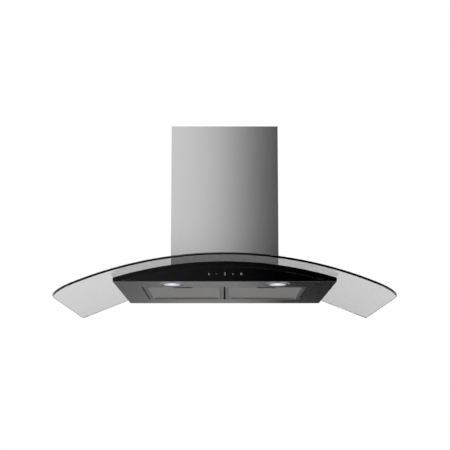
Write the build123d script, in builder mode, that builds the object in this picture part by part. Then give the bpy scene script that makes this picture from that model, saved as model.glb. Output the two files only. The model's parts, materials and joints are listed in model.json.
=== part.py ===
"""Wall-hung range hood with a curved glass canopy. Lengths in millimetres.

x runs to the viewer's right, y towards the wall and z up. y = 0 is the wall.
The origin is the middle of the wall bracket's four screw holes, from which the hood hangs.
"""

import os
from math import asin, cos, sin, sqrt, tan, radians

from build123d import *

os.makedirs("parts", exist_ok=True)

# Glass canopy
glass_w = 900.0  # across the top of its side edges
glass_d = 500.0
glass_t = 6.0
bend_r = 1027.0  # of the top surface
crown_h = 61.0  # top of the crown above the body's underside
glass_corner_r = 60.0
glass_edge_r = 1.0
notch_corner_r = 12.0
notch_gap = 6.0  # between the notch and the blower box's flange
fixing_x = 215.0
fixing_back_y = -60.0
fixing_front_y = -340.0
fixing_hole_r = 6.0
bush_flange_r = 9.6
bush_flange_t = 1.6
bush_bore_r = 3.0
glass_head_r = 8.6
glass_head_t = 3.0
glass_head_edge = 1.2
nut_l = 5.0

# Sheet-metal body below the glass
body_w = 596.0
body_d = 414.0  # from the wall to the face of the front panel
sheet = 1.0
body_flange = 14.0
panel_t = 1.0  # top panel
panel_inset = 1.0
seal_t = 1.5
seal_w = 10.0
seal_inset = 3.0
front_t = 4.0  # glass of the front panel
front_corner_r = 5.0
front_edge = 0.5
tape_t = 1.0
tape_w = 8.0
tape_inset = 20.0
body_hole_r = 4.0
body_hole_x = 220.0
body_hole_h = 15.0

# Clearances
lay = 0.1  # between bent sheets that lie on each other
seat = 0.3  # between pieces that may move against each other
slide_gap = 0.5  # between the two chimney covers
press = 0.02

# Controls behind the front panel
key_h = 20.0  # height of the row of touch marks above the underside
key_pitch = 22.0
key_r = 3.0
key_wall = 0.5
board_w = 134.0
board_h = 20.0
board_t = 1.6
housing_wall = 2.0
housing_d = 14.0
housing_flange = 12.0
housing_step = 3.0  # ledge that the board rests on
board_back = 5.0  # from the housing's mouth to the board's back
display_w = 12.0
display_h = 16.0

# Lamps
lamp_x = 143.0
lamp_inset = 45.0  # centre behind the front of the body
bezel_r = 33.0
bezel_t = 1.6
bezel_edge = 0.8
lens_r = 23.0
lens_lip = 1.8
lens_t = 1.0
can_r = 28.0
can_h = 23.0
can_wall = 1.5
can_gap = 0.5
can_ledge = 4.0
clip_t = 0.8
clip_w = 8.0
clip_out = 6.0
clip_start_h = 13.0  # above the underside, as are the next two
clip_end_h = 21.0
clip_bend_h = 9.0
driver_w = 90.0
driver_d = 40.0
driver_h = 20.0
driver_inset = 30.0
driver_edge = 2.0

# Grease filters
filter_w = 227.0
filter_d = 237.0
filter_t = 9.0
filter_inset = 95.0  # front edge behind the front of the body
filter_split = 4.0  # gap between the two
filter_recess = 0.2
filter_border = 10.0
filter_slope = 3.0  # cut along the two long lower edges
filter_hole_r = 8.0
hem_w = 3.0  # hem round the opening, which the mesh rests on
hem_h = 3.0
opening_gap = 1.5
opening_back_gap = 2.0
mesh_t = 0.8
fold_step = 8.0
tab_w = 24.0
tab_l = 12.0
tab_t = 1.2
tab_x = 70.0

# Filter latches
cup_w = 52.0
cup_wall = 1.0
latch_w = 44.0
latch_d = 8.0
latch_h = 3.3
latch_travel = 6.0
latch_fit = 0.3
spring_room = 3.7  # left for the springs when the latch is pulled right back
web_w = 30.0
web_d = 1.6
tongue_w = 25.0
tongue_t = 1.2
tongue_fit = 0.2
tongue_nose = 1.0  # how far it stands out of the frame
rail_w = 5.0
spring_x = 16.0
spring_r = 1.3
spring_wire = 0.25
spring_turns = 5

# Blower box above the body
box_w = 250.0
box_d = 238.0
box_back = 12.0  # from the wall
box_top_h = 335.0
box_flange = 10.0
box_screw_r = 2.0
box_screw_head_r = 3.6
box_screw_head_t = 2.2
box_screw_l = 9.0
side_screw_ys = (-190.0, -130.0, -70.0)
screw_fit = 0.2

# Wall bracket and the hook that drops over it
hang_h = 290.0  # the bracket's middle above the underside
bracket_w = 220.0
bracket_h = 60.0
bracket_t = 2.0
bracket_hole_x = 90.0
bracket_hole_z = 15.0
bracket_hole_r = 3.5
lip_reach = 6.0
hook_t = 1.5
hook_h = 34.0
hook_drop = 12.0

# Fan
fan_h = 190.0
fan_y = -131.0
volute_r = 86.0
volute_step = 8.0
scroll_half_w = 57.0
scroll_wall = 2.0
outlet_h = 106.0  # top of the scroll's outlet above the fan's axis
tongue_u = 20.0
inlet_r = 59.0
guard_spokes = 6
bell_l = 5.0
wheel_r = 75.0
wheel_half_w = 45.0
blade_l = 13.0
blade_t = 1.4
blade_count = 36
blade_turn = 35.0
wheel_plate_t = 2.0
hub_r = 12.0
hub_half_l = 12.0
shaft_r = 4.0
shaft_fit = 0.05
nut_r = 7.0
nut_t = 6.0
guard_bar = 2.0
scroll_foot_x = 40.0
scroll_foot_w = 20.0
scroll_foot_h = 20.0

# Motor, on the left of the fan
motor_r = 38.0
motor_start = 20.0  # from the fan's middle
motor_l = 78.0
motor_wall = 2.0
bearing_r = 9.0
bearing_l = 7.0
rotor_r = 24.5
rotor_l = 38.0
stator_l = 40.0
air_gap = 0.5
shaft_hole_gap = 1.0
arm_count = 3
arm_first = 30.0  # degrees
arm_w = 12.0
arm_t = 2.0
arm_reach = 70.0
clamp_l = 12.0
clamp_t = 3.0
grommet_r = 6.0
grommet_l = 6.5
small_screw_r = 1.5
small_head_r = 3.0
small_head_t = 2.0

# Outlet
collar_r = 74.75  # outside, for 150 mm duct
collar_wall = 2.0
collar_h = 45.0
collar_y = -165.0
collar_flange_r = 84.0
collar_flange_t = 1.5
flap_h = 20.0  # pin above the box's top
flap_t = 1.2
flap_gap = 0.75
flap_root = 3.6
pin_r = 1.5
pin_fit = 0.1
knuckle_r = 2.6
knuckle_l = 28.0
knuckle_gap = 2.0
ledge_w = 3.75
ledge_t = 1.5

# Electrical pieces beside the blower box
terminal_d = 100.0
terminal_h = 80.0
terminal_t = 20.0
terminal_y = -150.0
terminal_z = 240.0
terminal_wall = 2.0
lid_t = 2.5
lid_edge = 0.8
capacitor_r = 8.0
capacitor_l = 55.0
gland_r = 7.0
gland_bore_r = 3.5
gland_nut_r = 9.0
gland_nut_t = 5.0
gland_h = 16.0
gland_y = -120.0
lead_r = 2.5
lead_hole_r = 4.0
lead_start_x = 60.0
lead_turn_x = 76.0
lead_turn_gap = 30.0  # before and behind the filters' front edges
lead_end = 8.0  # inside the terminal box
lead_bend_share = 0.45  # of the shorter run beside each bend
# in from the blower box's right side, back from its front and up from the fan's axis
lead_rise = (
    (29.0, 28.0, -148.0),
    (24.0, 50.0, -90.0),
    (27.0, 72.0, -35.0),
    (31.0, 92.0, 25.0),
)

# Chimney covers
chimney_side_gap = 28.0  # from the blower box to the cover's outer face
chimney_front_gap = 25.0
chimney_top_h = 477.0
chimney_flange = 15.0
inner_bottom_h = 90.0
inner_top_gap = 2.0
slot_count = 8
slot_l = 60.0
slot_w = 4.0
slot_pitch = 10.0
slot_drop = 70.0
chimney_screw_y = -40.0
chimney_screw_h = 70.0
strip_t = 1.5
strip_l = 30.0
strip_over = 10.0  # above the screw
ceiling_bracket_w = 220.0
ceiling_bracket_h = 30.0
ceiling_bracket_t = 1.5
ceiling_hole_x = 80.0
ceiling_hole_r = 3.0
ceiling_drop = 22.0  # its middle below the inner cover's top
ceiling_step = 12.0
ear_l = 20.0
stud_in = 12.0  # from the ear's root
stud_r = 2.5

# Levels and radii that follow from those sizes
under_z = -hang_h
arch_z = under_z + crown_h - bend_r  # axis of every bent sheet
glass_under_r = bend_r - glass_t
seal_top_r = glass_under_r - lay
panel_top_r = seal_top_r - seal_t - lay
body_top_r = panel_top_r - panel_t - lay
flange_top_r = panel_top_r + lay + sheet
shell_d = body_d - front_t - tape_t
box_front_y = -box_back - box_d
box_y = -box_back - box_d / 2
box_top_z = under_z + box_top_h
fan_z = under_z + fan_h
chimney_w = box_w + 2 * chimney_side_gap
chimney_d = box_back + box_d + chimney_front_gap
chimney_top_z = under_z + chimney_top_h
filter_front_y = -body_d + filter_inset
filter_y = filter_front_y + filter_d / 2
filter_z = under_z + filter_recess
opening_back_y = filter_front_y + filter_d + opening_back_gap
opening_front_y = filter_front_y - opening_gap
opening_w = 2 * filter_w + filter_split + 2 * opening_gap
SIDES = ((-1, "left"), (1, "right"))


def keep(builder, name):
    """Labels a finished piece and writes it."""
    builder.part.label = name
    export_step(builder.part, f"parts/{name}.step")


def on_arch(radius, x):
    """Point above x on an arch of this radius."""
    return (x, arch_z + sqrt(radius**2 - x**2))


def radial(radius, angle):
    """Point on an arch of this radius, at this angle from its crown."""
    return (radius * sin(angle), arch_z + radius * cos(angle))


def bent_sheet(top_r, thickness, width, back_y, depth):
    """Sheet bent about the arch axis. Its width is across the top face, and it runs forward from back_y."""
    half = asin(width / 2 / top_r)
    low_r = top_r - thickness
    with BuildPart() as sheet_metal:
        with BuildSketch(Plane.XZ.offset(-back_y)):
            with BuildLine():
                upper = ThreePointArc(radial(top_r, -half), radial(top_r, 0), radial(top_r, half))
                lower = ThreePointArc(radial(low_r, -half), radial(low_r, 0), radial(low_r, half))
                Line(upper @ 0, lower @ 0)
                Line(upper @ 1, lower @ 1)
            make_face()
        extrude(amount=depth)
    return sheet_metal.part


def arch_block(top_r, width, floor_z, back_y, depth):
    """Block with upright sides whose top follows an arch. It runs forward from back_y."""
    with BuildPart() as block:
        with BuildSketch(Plane.XZ.offset(-back_y)):
            with BuildLine():
                top = ThreePointArc(on_arch(top_r, -width / 2), on_arch(top_r, 0), on_arch(top_r, width / 2))
                Polyline(top @ 0, (-width / 2, floor_z), (width / 2, floor_z), top @ 1)
            make_face()
        extrude(amount=depth)
    return block.part


def glass_fixing_planes():
    """Planes on the glass, square to it, at the four screws that clamp it."""
    planes = []
    for x in (-fixing_x, fixing_x):
        for y in (fixing_back_y, fixing_front_y):
            angle = asin(x / bend_r)
            spot_x, spot_z = radial(bend_r, angle)
            along = (cos(angle), 0, -sin(angle))
            planes.append(Plane(origin=(spot_x, y, spot_z), x_dir=along, z_dir=(sin(angle), 0, cos(angle))))
    return planes


fixings = glass_fixing_planes()

# The screws that hold the blower box's flange to the top panel
side_screw_x = box_w / 2 + box_flange / 2
end_screw_x = box_w / 4
front_screw_y = box_front_y - box_flange / 2
box_screw_spots = [(side * side_screw_x, y) for side, _ in SIDES for y in side_screw_ys]
box_screw_spots += [(side * end_screw_x, front_screw_y) for side, _ in SIDES]

# ---------------------------------------------------------------- glass canopy
notch_w = box_w + 2 * box_flange + 2 * notch_gap
notch_d = box_back + box_d + box_flange + notch_gap
glass_blank = bent_sheet(bend_r, glass_t, glass_w, 0, glass_d)
with BuildPart() as canopy_glass:
    add(glass_blank)
    fillet(canopy_glass.faces().sort_by(Axis.Y)[0].edges().filter_by(GeomType.LINE), glass_corner_r)
    with BuildSketch(Plane.XY.offset(under_z)):
        with Locations((0, 0)):
            RectangleRounded(notch_w, 2 * notch_d, notch_corner_r)
    extrude(amount=2 * crown_h, mode=Mode.SUBTRACT)
    with Locations(*fixings):
        Cylinder(fixing_hole_r, 4 * glass_t, mode=Mode.SUBTRACT)
    broad_faces = canopy_glass.faces().sort_by(SortBy.AREA)[-2:]
    fillet(broad_faces.edges(), glass_edge_r)
keep(canopy_glass, "canopy_glass")

seal_sheet = bent_sheet(seal_top_r, seal_t, body_w - 2 * seal_inset, -seal_inset, shell_d - 2 * seal_inset)
with BuildPart() as glass_seal:
    add(seal_sheet)
    with BuildSketch(Plane.XY.offset(under_z)):
        with Locations((0, -shell_d / 2)):
            hollow_w = body_w - 2 * seal_inset - 2 * seal_w
            hollow_d = shell_d - 2 * seal_inset - 2 * seal_w
            RectangleRounded(hollow_w, hollow_d, notch_corner_r)
        Rectangle(notch_w, 2 * (seal_inset + seal_w + notch_gap))
    extrude(amount=2 * crown_h, mode=Mode.SUBTRACT)
keep(glass_seal, "glass_seal")

with BuildPart() as glass_bushes:
    with Locations(*fixings):
        with Locations((0, 0, bush_flange_t / 2 + lay)):
            Cylinder(bush_flange_r, bush_flange_t)
        with Locations((0, 0, -(glass_t + seal_t) / 2)):
            Cylinder(fixing_hole_r - lay, glass_t + seal_t + 2 * lay)
        with Locations((0, 0, -glass_t - seal_t / 2 - lay)):
            Cylinder(bush_flange_r, seal_t)
        Cylinder(bush_bore_r + screw_fit, 4 * glass_t, mode=Mode.SUBTRACT)
keep(glass_bushes, "glass_bushes")

nut_top = -glass_t - seal_t - panel_t - 3 * lay
with BuildPart() as glass_screws:
    with Locations(*fixings):
        with Locations((0, 0, bush_flange_t + 2 * lay + glass_head_t / 2)):
            Cylinder(glass_head_r, glass_head_t)
        with Locations((0, 0, (nut_top - nut_l + bush_flange_t + glass_head_t) / 2)):
            Cylinder(bush_bore_r, bush_flange_t + glass_head_t - nut_top + nut_l)
    for plane in fixings:
        head_rims = glass_screws.edges().filter_by(GeomType.CIRCLE).group_by(SortBy.RADIUS)[-1]
        fillet(head_rims.sort_by_distance(plane.origin + plane.z_dir * glass_w)[0], glass_head_edge)
keep(glass_screws, "glass_screws")

with BuildPart() as glass_nuts:
    with Locations(*fixings):
        with Locations((0, 0, nut_top - nut_l / 2)):
            Cylinder(fixing_hole_r, nut_l)
        Cylinder(bush_bore_r + press, 8 * glass_t, mode=Mode.SUBTRACT)
keep(glass_nuts, "glass_nuts")

# ---------------------------------------------------------------- body
housing_w = board_w + 2 * lay + 2 * housing_wall + 2 * lay
housing_h = board_h + 2 * lay + 2 * housing_wall + 2 * lay
window_w = board_w + 2 * lay
window_h = board_h + 2 * lay
key_z = under_z + key_h
control_screw_x = housing_w / 2 + housing_flange / 2
lamp_y = -body_d + lamp_inset
lamp_hole_r = can_r + can_gap
body_outside = arch_block(body_top_r, body_w, under_z, 0, shell_d)
body_inside = arch_block(
    body_top_r - sheet, body_w - 2 * sheet, under_z + sheet, -sheet, shell_d - 2 * sheet
)
with BuildPart() as body_shell:
    add(body_outside)
    add(body_inside, mode=Mode.SUBTRACT)
    # opening in the top, which leaves a flange all round
    with BuildSketch(Plane.XY.offset(under_z + 3 * sheet)):
        with Locations((0, -shell_d / 2)):
            Rectangle(body_w - 2 * body_flange, shell_d - 2 * body_flange)
    extrude(amount=crown_h, mode=Mode.SUBTRACT)
    # openings in the underside
    with BuildSketch(Plane.XY.offset(under_z)):
        with Locations((0, (opening_back_y + opening_front_y) / 2)):
            Rectangle(opening_w, opening_back_y - opening_front_y)
        with Locations((-lamp_x, lamp_y), (lamp_x, lamp_y)):
            Circle(lamp_hole_r)
    extrude(amount=sheet, mode=Mode.SUBTRACT)
    # wall screw holes in the back
    with BuildSketch(Plane.XZ):
        with Locations((-body_hole_x, under_z + body_hole_h), (body_hole_x, under_z + body_hole_h)):
            Circle(body_hole_r)
    extrude(amount=sheet, mode=Mode.SUBTRACT)
    # window and screw holes in the front
    with BuildSketch(Plane.XZ.offset(shell_d - sheet)):
        with Locations((0, key_z)):
            Rectangle(window_w, window_h)
        with Locations((-control_screw_x, key_z), (control_screw_x, key_z)):
            Circle(small_screw_r + lay)
    extrude(amount=sheet, mode=Mode.SUBTRACT)
keep(body_shell, "body_shell")

panel_sheet = bent_sheet(
    panel_top_r, panel_t, body_w - 2 * panel_inset, -panel_inset, shell_d - 2 * panel_inset
)
with BuildPart() as top_panel:
    add(panel_sheet)
    with BuildSketch(Plane.XY.offset(under_z)):
        with Locations((0, box_y)):
            Rectangle(box_w - 2 * sheet, box_d - 2 * sheet)
        with Locations(*box_screw_spots):
            Circle(box_screw_r + screw_fit)
    extrude(amount=crown_h, mode=Mode.SUBTRACT)
    with Locations(*fixings):
        Cylinder(bush_bore_r + screw_fit, 4 * glass_t, mode=Mode.SUBTRACT)
keep(top_panel, "top_panel")

front_blank = arch_block(glass_under_r - seat, body_w, under_z, -shell_d - tape_t, front_t)
with BuildPart() as front_panel:
    add(front_blank)
    low_corners = front_panel.edges().filter_by(Axis.Y).group_by(Axis.Z)[0]
    fillet(low_corners, front_corner_r)
    chamfer(front_panel.faces().sort_by(Axis.Y)[0].edges(), front_edge)
keep(front_panel, "front_panel")

tape_reach = body_w - 2 * tape_inset
upper_tape = bent_sheet(body_top_r - sheet, tape_w, tape_reach, -shell_d, tape_t)
with BuildPart() as panel_tape:
    add(upper_tape)
    with BuildSketch(Plane.XZ.offset(shell_d)):
        with Locations((0, under_z + sheet + tape_w / 4)):
            Rectangle(tape_reach, tape_w / 2)
    extrude(amount=tape_t)
keep(panel_tape, "panel_tape")

# ---------------------------------------------------------------- controls
mouth_y = -shell_d + sheet + lay
front_back_y = -shell_d - tape_t
board_back_y = mouth_y + board_back
board_front_y = board_back_y - board_t
with BuildPart() as control_housing:
    with BuildSketch(Plane.XZ.offset(-mouth_y)):
        with Locations((0, key_z)):
            Rectangle(housing_w + 2 * housing_flange, housing_h)
    extrude(amount=-housing_wall)
    with BuildSketch(Plane.XZ.offset(-mouth_y)):
        with Locations((0, key_z)):
            Rectangle(housing_w, housing_h)
    extrude(amount=-housing_d)
    with BuildSketch(Plane.XZ.offset(-mouth_y)):
        with Locations((0, key_z)):
            Rectangle(window_w, window_h)
    extrude(amount=-board_back - lay, mode=Mode.SUBTRACT)
    with BuildSketch(Plane.XZ.offset(-mouth_y)):
        with Locations((0, key_z)):
            Rectangle(window_w - 2 * housing_step, window_h - 2 * housing_step)
    extrude(amount=-housing_d + housing_wall, mode=Mode.SUBTRACT)
    with BuildSketch(Plane.XZ.offset(-mouth_y)):
        with Locations((-control_screw_x, key_z), (control_screw_x, key_z)):
            Circle(small_screw_r + lay)
    extrude(amount=-housing_wall, mode=Mode.SUBTRACT)
keep(control_housing, "control_housing")

with BuildPart() as control_board:
    with BuildSketch(Plane.XZ.offset(-board_front_y)):
        with Locations((0, key_z)):
            Rectangle(board_w, board_h)
    extrude(amount=-board_t)
keep(control_board, "control_board")

key_spots = [(step * key_pitch, key_z) for step in (-2, -1, 1, 2)]
key_l = board_front_y - front_back_y - lay
with BuildPart() as touch_springs:
    with BuildSketch(Plane.XZ.offset(-board_front_y)):
        with Locations(*key_spots):
            Circle(key_r)
            Circle(key_r - key_wall, mode=Mode.SUBTRACT)
    extrude(amount=key_l)
keep(touch_springs, "touch_springs")

with BuildPart() as display_module:
    with BuildSketch(Plane.XZ.offset(-board_front_y)):
        with Locations((0, key_z)):
            Rectangle(display_w, display_h)
    extrude(amount=key_l)
keep(display_module, "display_module")

# ---------------------------------------------------------------- lamps
with BuildPart() as lamp_lenses:
    for side, _ in SIDES:
        with BuildSketch(Plane.XY.offset(under_z)):
            with Locations((side * lamp_x, lamp_y)):
                Circle(lens_r + lens_lip)
        extrude(amount=lens_t)
        with BuildSketch(Plane.XY.offset(under_z)):
            with Locations((side * lamp_x, lamp_y)):
                Circle(lens_r)
        extrude(amount=-bezel_t + bezel_edge / 2)
keep(lamp_lenses, "lamp_lenses")

for side, name in SIDES:
    with BuildPart() as lamp_bezel:
        with Locations((side * lamp_x, lamp_y, under_z - bezel_t / 2)):
            Cylinder(bezel_r, bezel_t)
        outer_rim = lamp_bezel.edges().filter_by(GeomType.CIRCLE).sort_by(Axis.Z)[0]
        chamfer(outer_rim, bezel_edge)
        with BuildSketch(Plane.XY.offset(under_z)):
            with Locations((side * lamp_x, lamp_y)):
                Circle(can_r)
        extrude(amount=sheet + lay)
        with BuildSketch(Plane.XY.offset(under_z)):
            with Locations((side * lamp_x, lamp_y)):
                Circle(lens_r + lens_lip + lay)
        extrude(amount=sheet + lay, mode=Mode.SUBTRACT)
        with BuildSketch(Plane.XY.offset(under_z)):
            with Locations((side * lamp_x, lamp_y)):
                Circle(lens_r + lay)
        extrude(amount=-bezel_t, mode=Mode.SUBTRACT)
    keep(lamp_bezel, f"lamp_bezel_{name}")

can_z = under_z + sheet + 2 * lay
with BuildPart() as lamp_cans:
    for side, _ in SIDES:
        with BuildSketch(Plane.XY.offset(can_z)):
            with Locations((side * lamp_x, lamp_y)):
                Circle(can_r)
        extrude(amount=can_h)
        with BuildSketch(Plane.XY.offset(can_z)):
            with Locations((side * lamp_x, lamp_y)):
                Circle(can_r - can_wall - can_ledge)
        extrude(amount=can_wall, mode=Mode.SUBTRACT)
        with BuildSketch(Plane.XY.offset(can_z + can_wall)):
            with Locations((side * lamp_x, lamp_y)):
                Circle(can_r - can_wall)
        extrude(amount=can_h - 2 * can_wall, mode=Mode.SUBTRACT)
keep(lamp_cans, "lamp_cans")

# Spring clips on the cans, which press on the pan around the hole
with BuildPart() as lamp_clips:
    for side, _ in SIDES:
        for hand in (-1, 1):
            near_x = side * lamp_x + hand * (can_r + lay + clip_t / 2)
            far_x = near_x + hand * clip_out
            foot_x = near_x + hand * clip_out / 2
            with BuildSketch(Plane.XZ.offset(-lamp_y - clip_w / 2)):
                with BuildLine():
                    Polyline(
                        (near_x, under_z + clip_start_h),
                        (near_x, under_z + clip_end_h),
                        (far_x, under_z + clip_bend_h),
                        (foot_x, under_z + sheet + clip_t / 2 + lay),
                    )
                trace(line_width=clip_t)
            extrude(amount=clip_w)
keep(lamp_clips, "lamp_clips")

driver_y = -body_d + front_t + tape_t + driver_inset + driver_d / 2
with BuildPart() as lamp_driver:
    with BuildSketch(Plane.XY.offset(under_z + sheet)):
        with Locations((0, driver_y)):
            RectangleRounded(driver_w, driver_d, driver_edge)
    extrude(amount=driver_h)
    fillet(lamp_driver.faces().sort_by(Axis.Z)[-1].edges(), driver_edge / 2)
keep(lamp_driver, "lamp_driver")

# ---------------------------------------------------------------- grease filters and their latches
cup_d = 2 * cup_wall + latch_fit + latch_d + latch_travel + spring_room
cup_y = filter_front_y + sheet + cup_d / 2
cup_top_z = filter_z + filter_t - sheet
slider_top_z = cup_top_z - cup_wall - latch_fit
slider_z = slider_top_z - latch_h
tongue_z = slider_z + tongue_fit
slider_front_y = filter_front_y + sheet + cup_wall + latch_fit
slider_y = slider_front_y + latch_d / 2
cup_back_y = filter_front_y + sheet + cup_d - cup_wall
tab_z = under_z + sheet + seat
channel_slope = filter_slope - (2 - sqrt(2)) * sheet  # keeps the sloped sheet as thick as the rest
hole_w = filter_w - 2 * filter_border
hole_d = filter_d - 2 * filter_border
mesh_w = filter_w - 2 * sheet - 2 * lay
mesh_d = filter_d - 2 * sheet - 2 * lay
mesh_h = filter_t - 2 * sheet - hem_h - 2 * lay
mesh_z = filter_z + sheet + hem_h + lay + mesh_h / 2
fold_h = mesh_h - 2 * mesh_t
fold_count = int(mesh_d / fold_step) - 1
fold_half = fold_step - mesh_t


def latch_slot(centre_x):
    """Draws the slot that a tongue slides in, with its clearance, on an upright plane."""
    with Locations((centre_x, tongue_z + tongue_t / 2)):
        Rectangle(tongue_w + 2 * tongue_fit, tongue_t + 2 * tongue_fit)


def sloped_block(centre_x, inset, slope):
    """Fills a filter's outline, this far inside it, and cuts the two long lower edges at 45 degrees."""
    with BuildPart() as block:
        with BuildSketch(Plane.XY.offset(filter_z + inset)):
            with Locations((centre_x, filter_y)):
                Rectangle(filter_w - 2 * inset, filter_d - 2 * inset)
        extrude(amount=filter_t - 2 * inset)
        chamfer(block.edges().filter_by(Axis.Y).group_by(Axis.Z)[0], slope)
    return block.part


for side, name in SIDES:
    filter_x = side * (filter_split + filter_w) / 2
    filter_block = sloped_block(filter_x, 0, filter_slope)
    filter_channel = sloped_block(filter_x, sheet, channel_slope)
    with BuildPart() as filter_frame:
        add(filter_block)
        add(filter_channel, mode=Mode.SUBTRACT)
        with BuildSketch(Plane.XY.offset(filter_z + sheet)):
            with Locations((filter_x, filter_y)):
                RectangleRounded(hole_w + 2 * hem_w, hole_d + 2 * hem_w, filter_hole_r + hem_w)
        extrude(amount=hem_h)
        with BuildSketch(Plane.XY.offset(filter_z)):
            with Locations((filter_x, filter_y)):
                RectangleRounded(hole_w, hole_d, filter_hole_r)
        extrude(amount=filter_t, mode=Mode.SUBTRACT)
        # room for the latch cup, and the slot for its tongue
        with BuildSketch(Plane.XY.offset(filter_z)):
            with Locations((filter_x, cup_y)):
                Rectangle(cup_w + 2 * lay, cup_d)
        extrude(amount=sheet + hem_h, mode=Mode.SUBTRACT)
        with BuildSketch(Plane.XZ.offset(-filter_front_y)):
            latch_slot(filter_x)
        extrude(amount=-sheet, mode=Mode.SUBTRACT)
        # tabs that rest on the pan behind the opening
        with BuildSketch(Plane.XY.offset(tab_z)):
            with Locations(
                (filter_x - tab_x, filter_y + filter_d / 2 + tab_l / 2 - sheet / 2),
                (filter_x + tab_x, filter_y + filter_d / 2 + tab_l / 2 - sheet / 2),
            ):
                Rectangle(tab_w, tab_l + sheet)
        extrude(amount=tab_t)
    keep(filter_frame, f"filter_frame_{name}")

    # two outer sheets of mesh with a folded one between them
    with BuildPart() as filter_mesh:
        with BuildSketch(Plane.YZ.offset(filter_x - mesh_w / 2)):
            with Locations((filter_y, mesh_z)):
                Rectangle(mesh_d, mesh_h)
            for index in range(fold_count):
                middle = filter_y + (index - (fold_count - 1) / 2) * fold_step
                tip = fold_h / 2 if index % 2 else -fold_h / 2
                with BuildLine():
                    Polyline(
                        (middle - fold_half, mesh_z - tip),
                        (middle + fold_half, mesh_z - tip),
                        (middle, mesh_z + tip),
                        close=True,
                    )
                make_face(mode=Mode.SUBTRACT)
        extrude(amount=mesh_w)
        with BuildSketch(Plane.XY.offset(filter_z)):
            with Locations((filter_x, cup_y)):
                Rectangle(cup_w + 2 * lay, cup_d + 4 * lay)
        extrude(amount=filter_t, mode=Mode.SUBTRACT)
    keep(filter_mesh, f"filter_mesh_{name}")

    with BuildPart() as latch_cup:
        with BuildSketch(Plane.XY.offset(filter_z)):
            with Locations((filter_x, cup_y)):
                Rectangle(cup_w, cup_d)
        extrude(amount=filter_t - sheet)
        with BuildSketch(Plane.XY.offset(filter_z)):
            with Locations((filter_x, cup_y)):
                Rectangle(cup_w - 2 * cup_wall, cup_d - 2 * cup_wall)
        extrude(amount=filter_t - sheet - cup_wall, mode=Mode.SUBTRACT)
        # rails that carry the latch
        rail_x = cup_w / 2 - cup_wall - rail_w / 2
        with BuildSketch(Plane.XY.offset(slider_z - latch_fit)):
            with Locations((filter_x - rail_x, cup_y), (filter_x + rail_x, cup_y)):
                Rectangle(rail_w, cup_d - cup_wall)
        extrude(amount=-cup_wall)
        with BuildSketch(Plane.XZ.offset(-filter_front_y - sheet)):
            latch_slot(filter_x)
        extrude(amount=cup_wall, both=True, mode=Mode.SUBTRACT)
    keep(latch_cup, f"latch_cup_{name}")

    with BuildPart() as latch:
        with BuildSketch(Plane.XY.offset(slider_z)):
            with Locations((filter_x, slider_y)):
                Rectangle(latch_w, latch_d)
        extrude(amount=latch_h)
        # web at the back, which a fingertip pulls
        with BuildSketch(Plane.XY.offset(filter_z + cup_wall)):
            with Locations((filter_x, slider_front_y + latch_d - web_d / 2)):
                Rectangle(web_w, web_d)
        extrude(amount=slider_z - filter_z - cup_wall)
        with BuildSketch(Plane.XY.offset(tongue_z)):
            tongue_l = slider_front_y - filter_front_y + tongue_nose
            with Locations((filter_x, slider_front_y - tongue_l / 2)):
                Rectangle(tongue_w, tongue_l)
        extrude(amount=tongue_t)
    keep(latch, f"latch_{name}")

    spring_l = cup_back_y - slider_front_y - latch_d - 2 * latch_fit - 2 * spring_wire
    spring_start_y = slider_front_y + latch_d + latch_fit + spring_wire
    with BuildPart() as latch_springs:
        for hand in (-1, 1):
            start = (filter_x + hand * spring_x, spring_start_y, slider_z + latch_h / 2)
            with BuildLine() as coil:
                Helix(spring_l / spring_turns, spring_l, spring_r, center=start, direction=(0, 1, 0))
            with BuildSketch(Plane(origin=coil.line @ 0, z_dir=coil.line % 0)):
                Circle(spring_wire)
            sweep(path=coil.line, is_frenet=True)
    keep(latch_springs, f"latch_springs_{name}")

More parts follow.
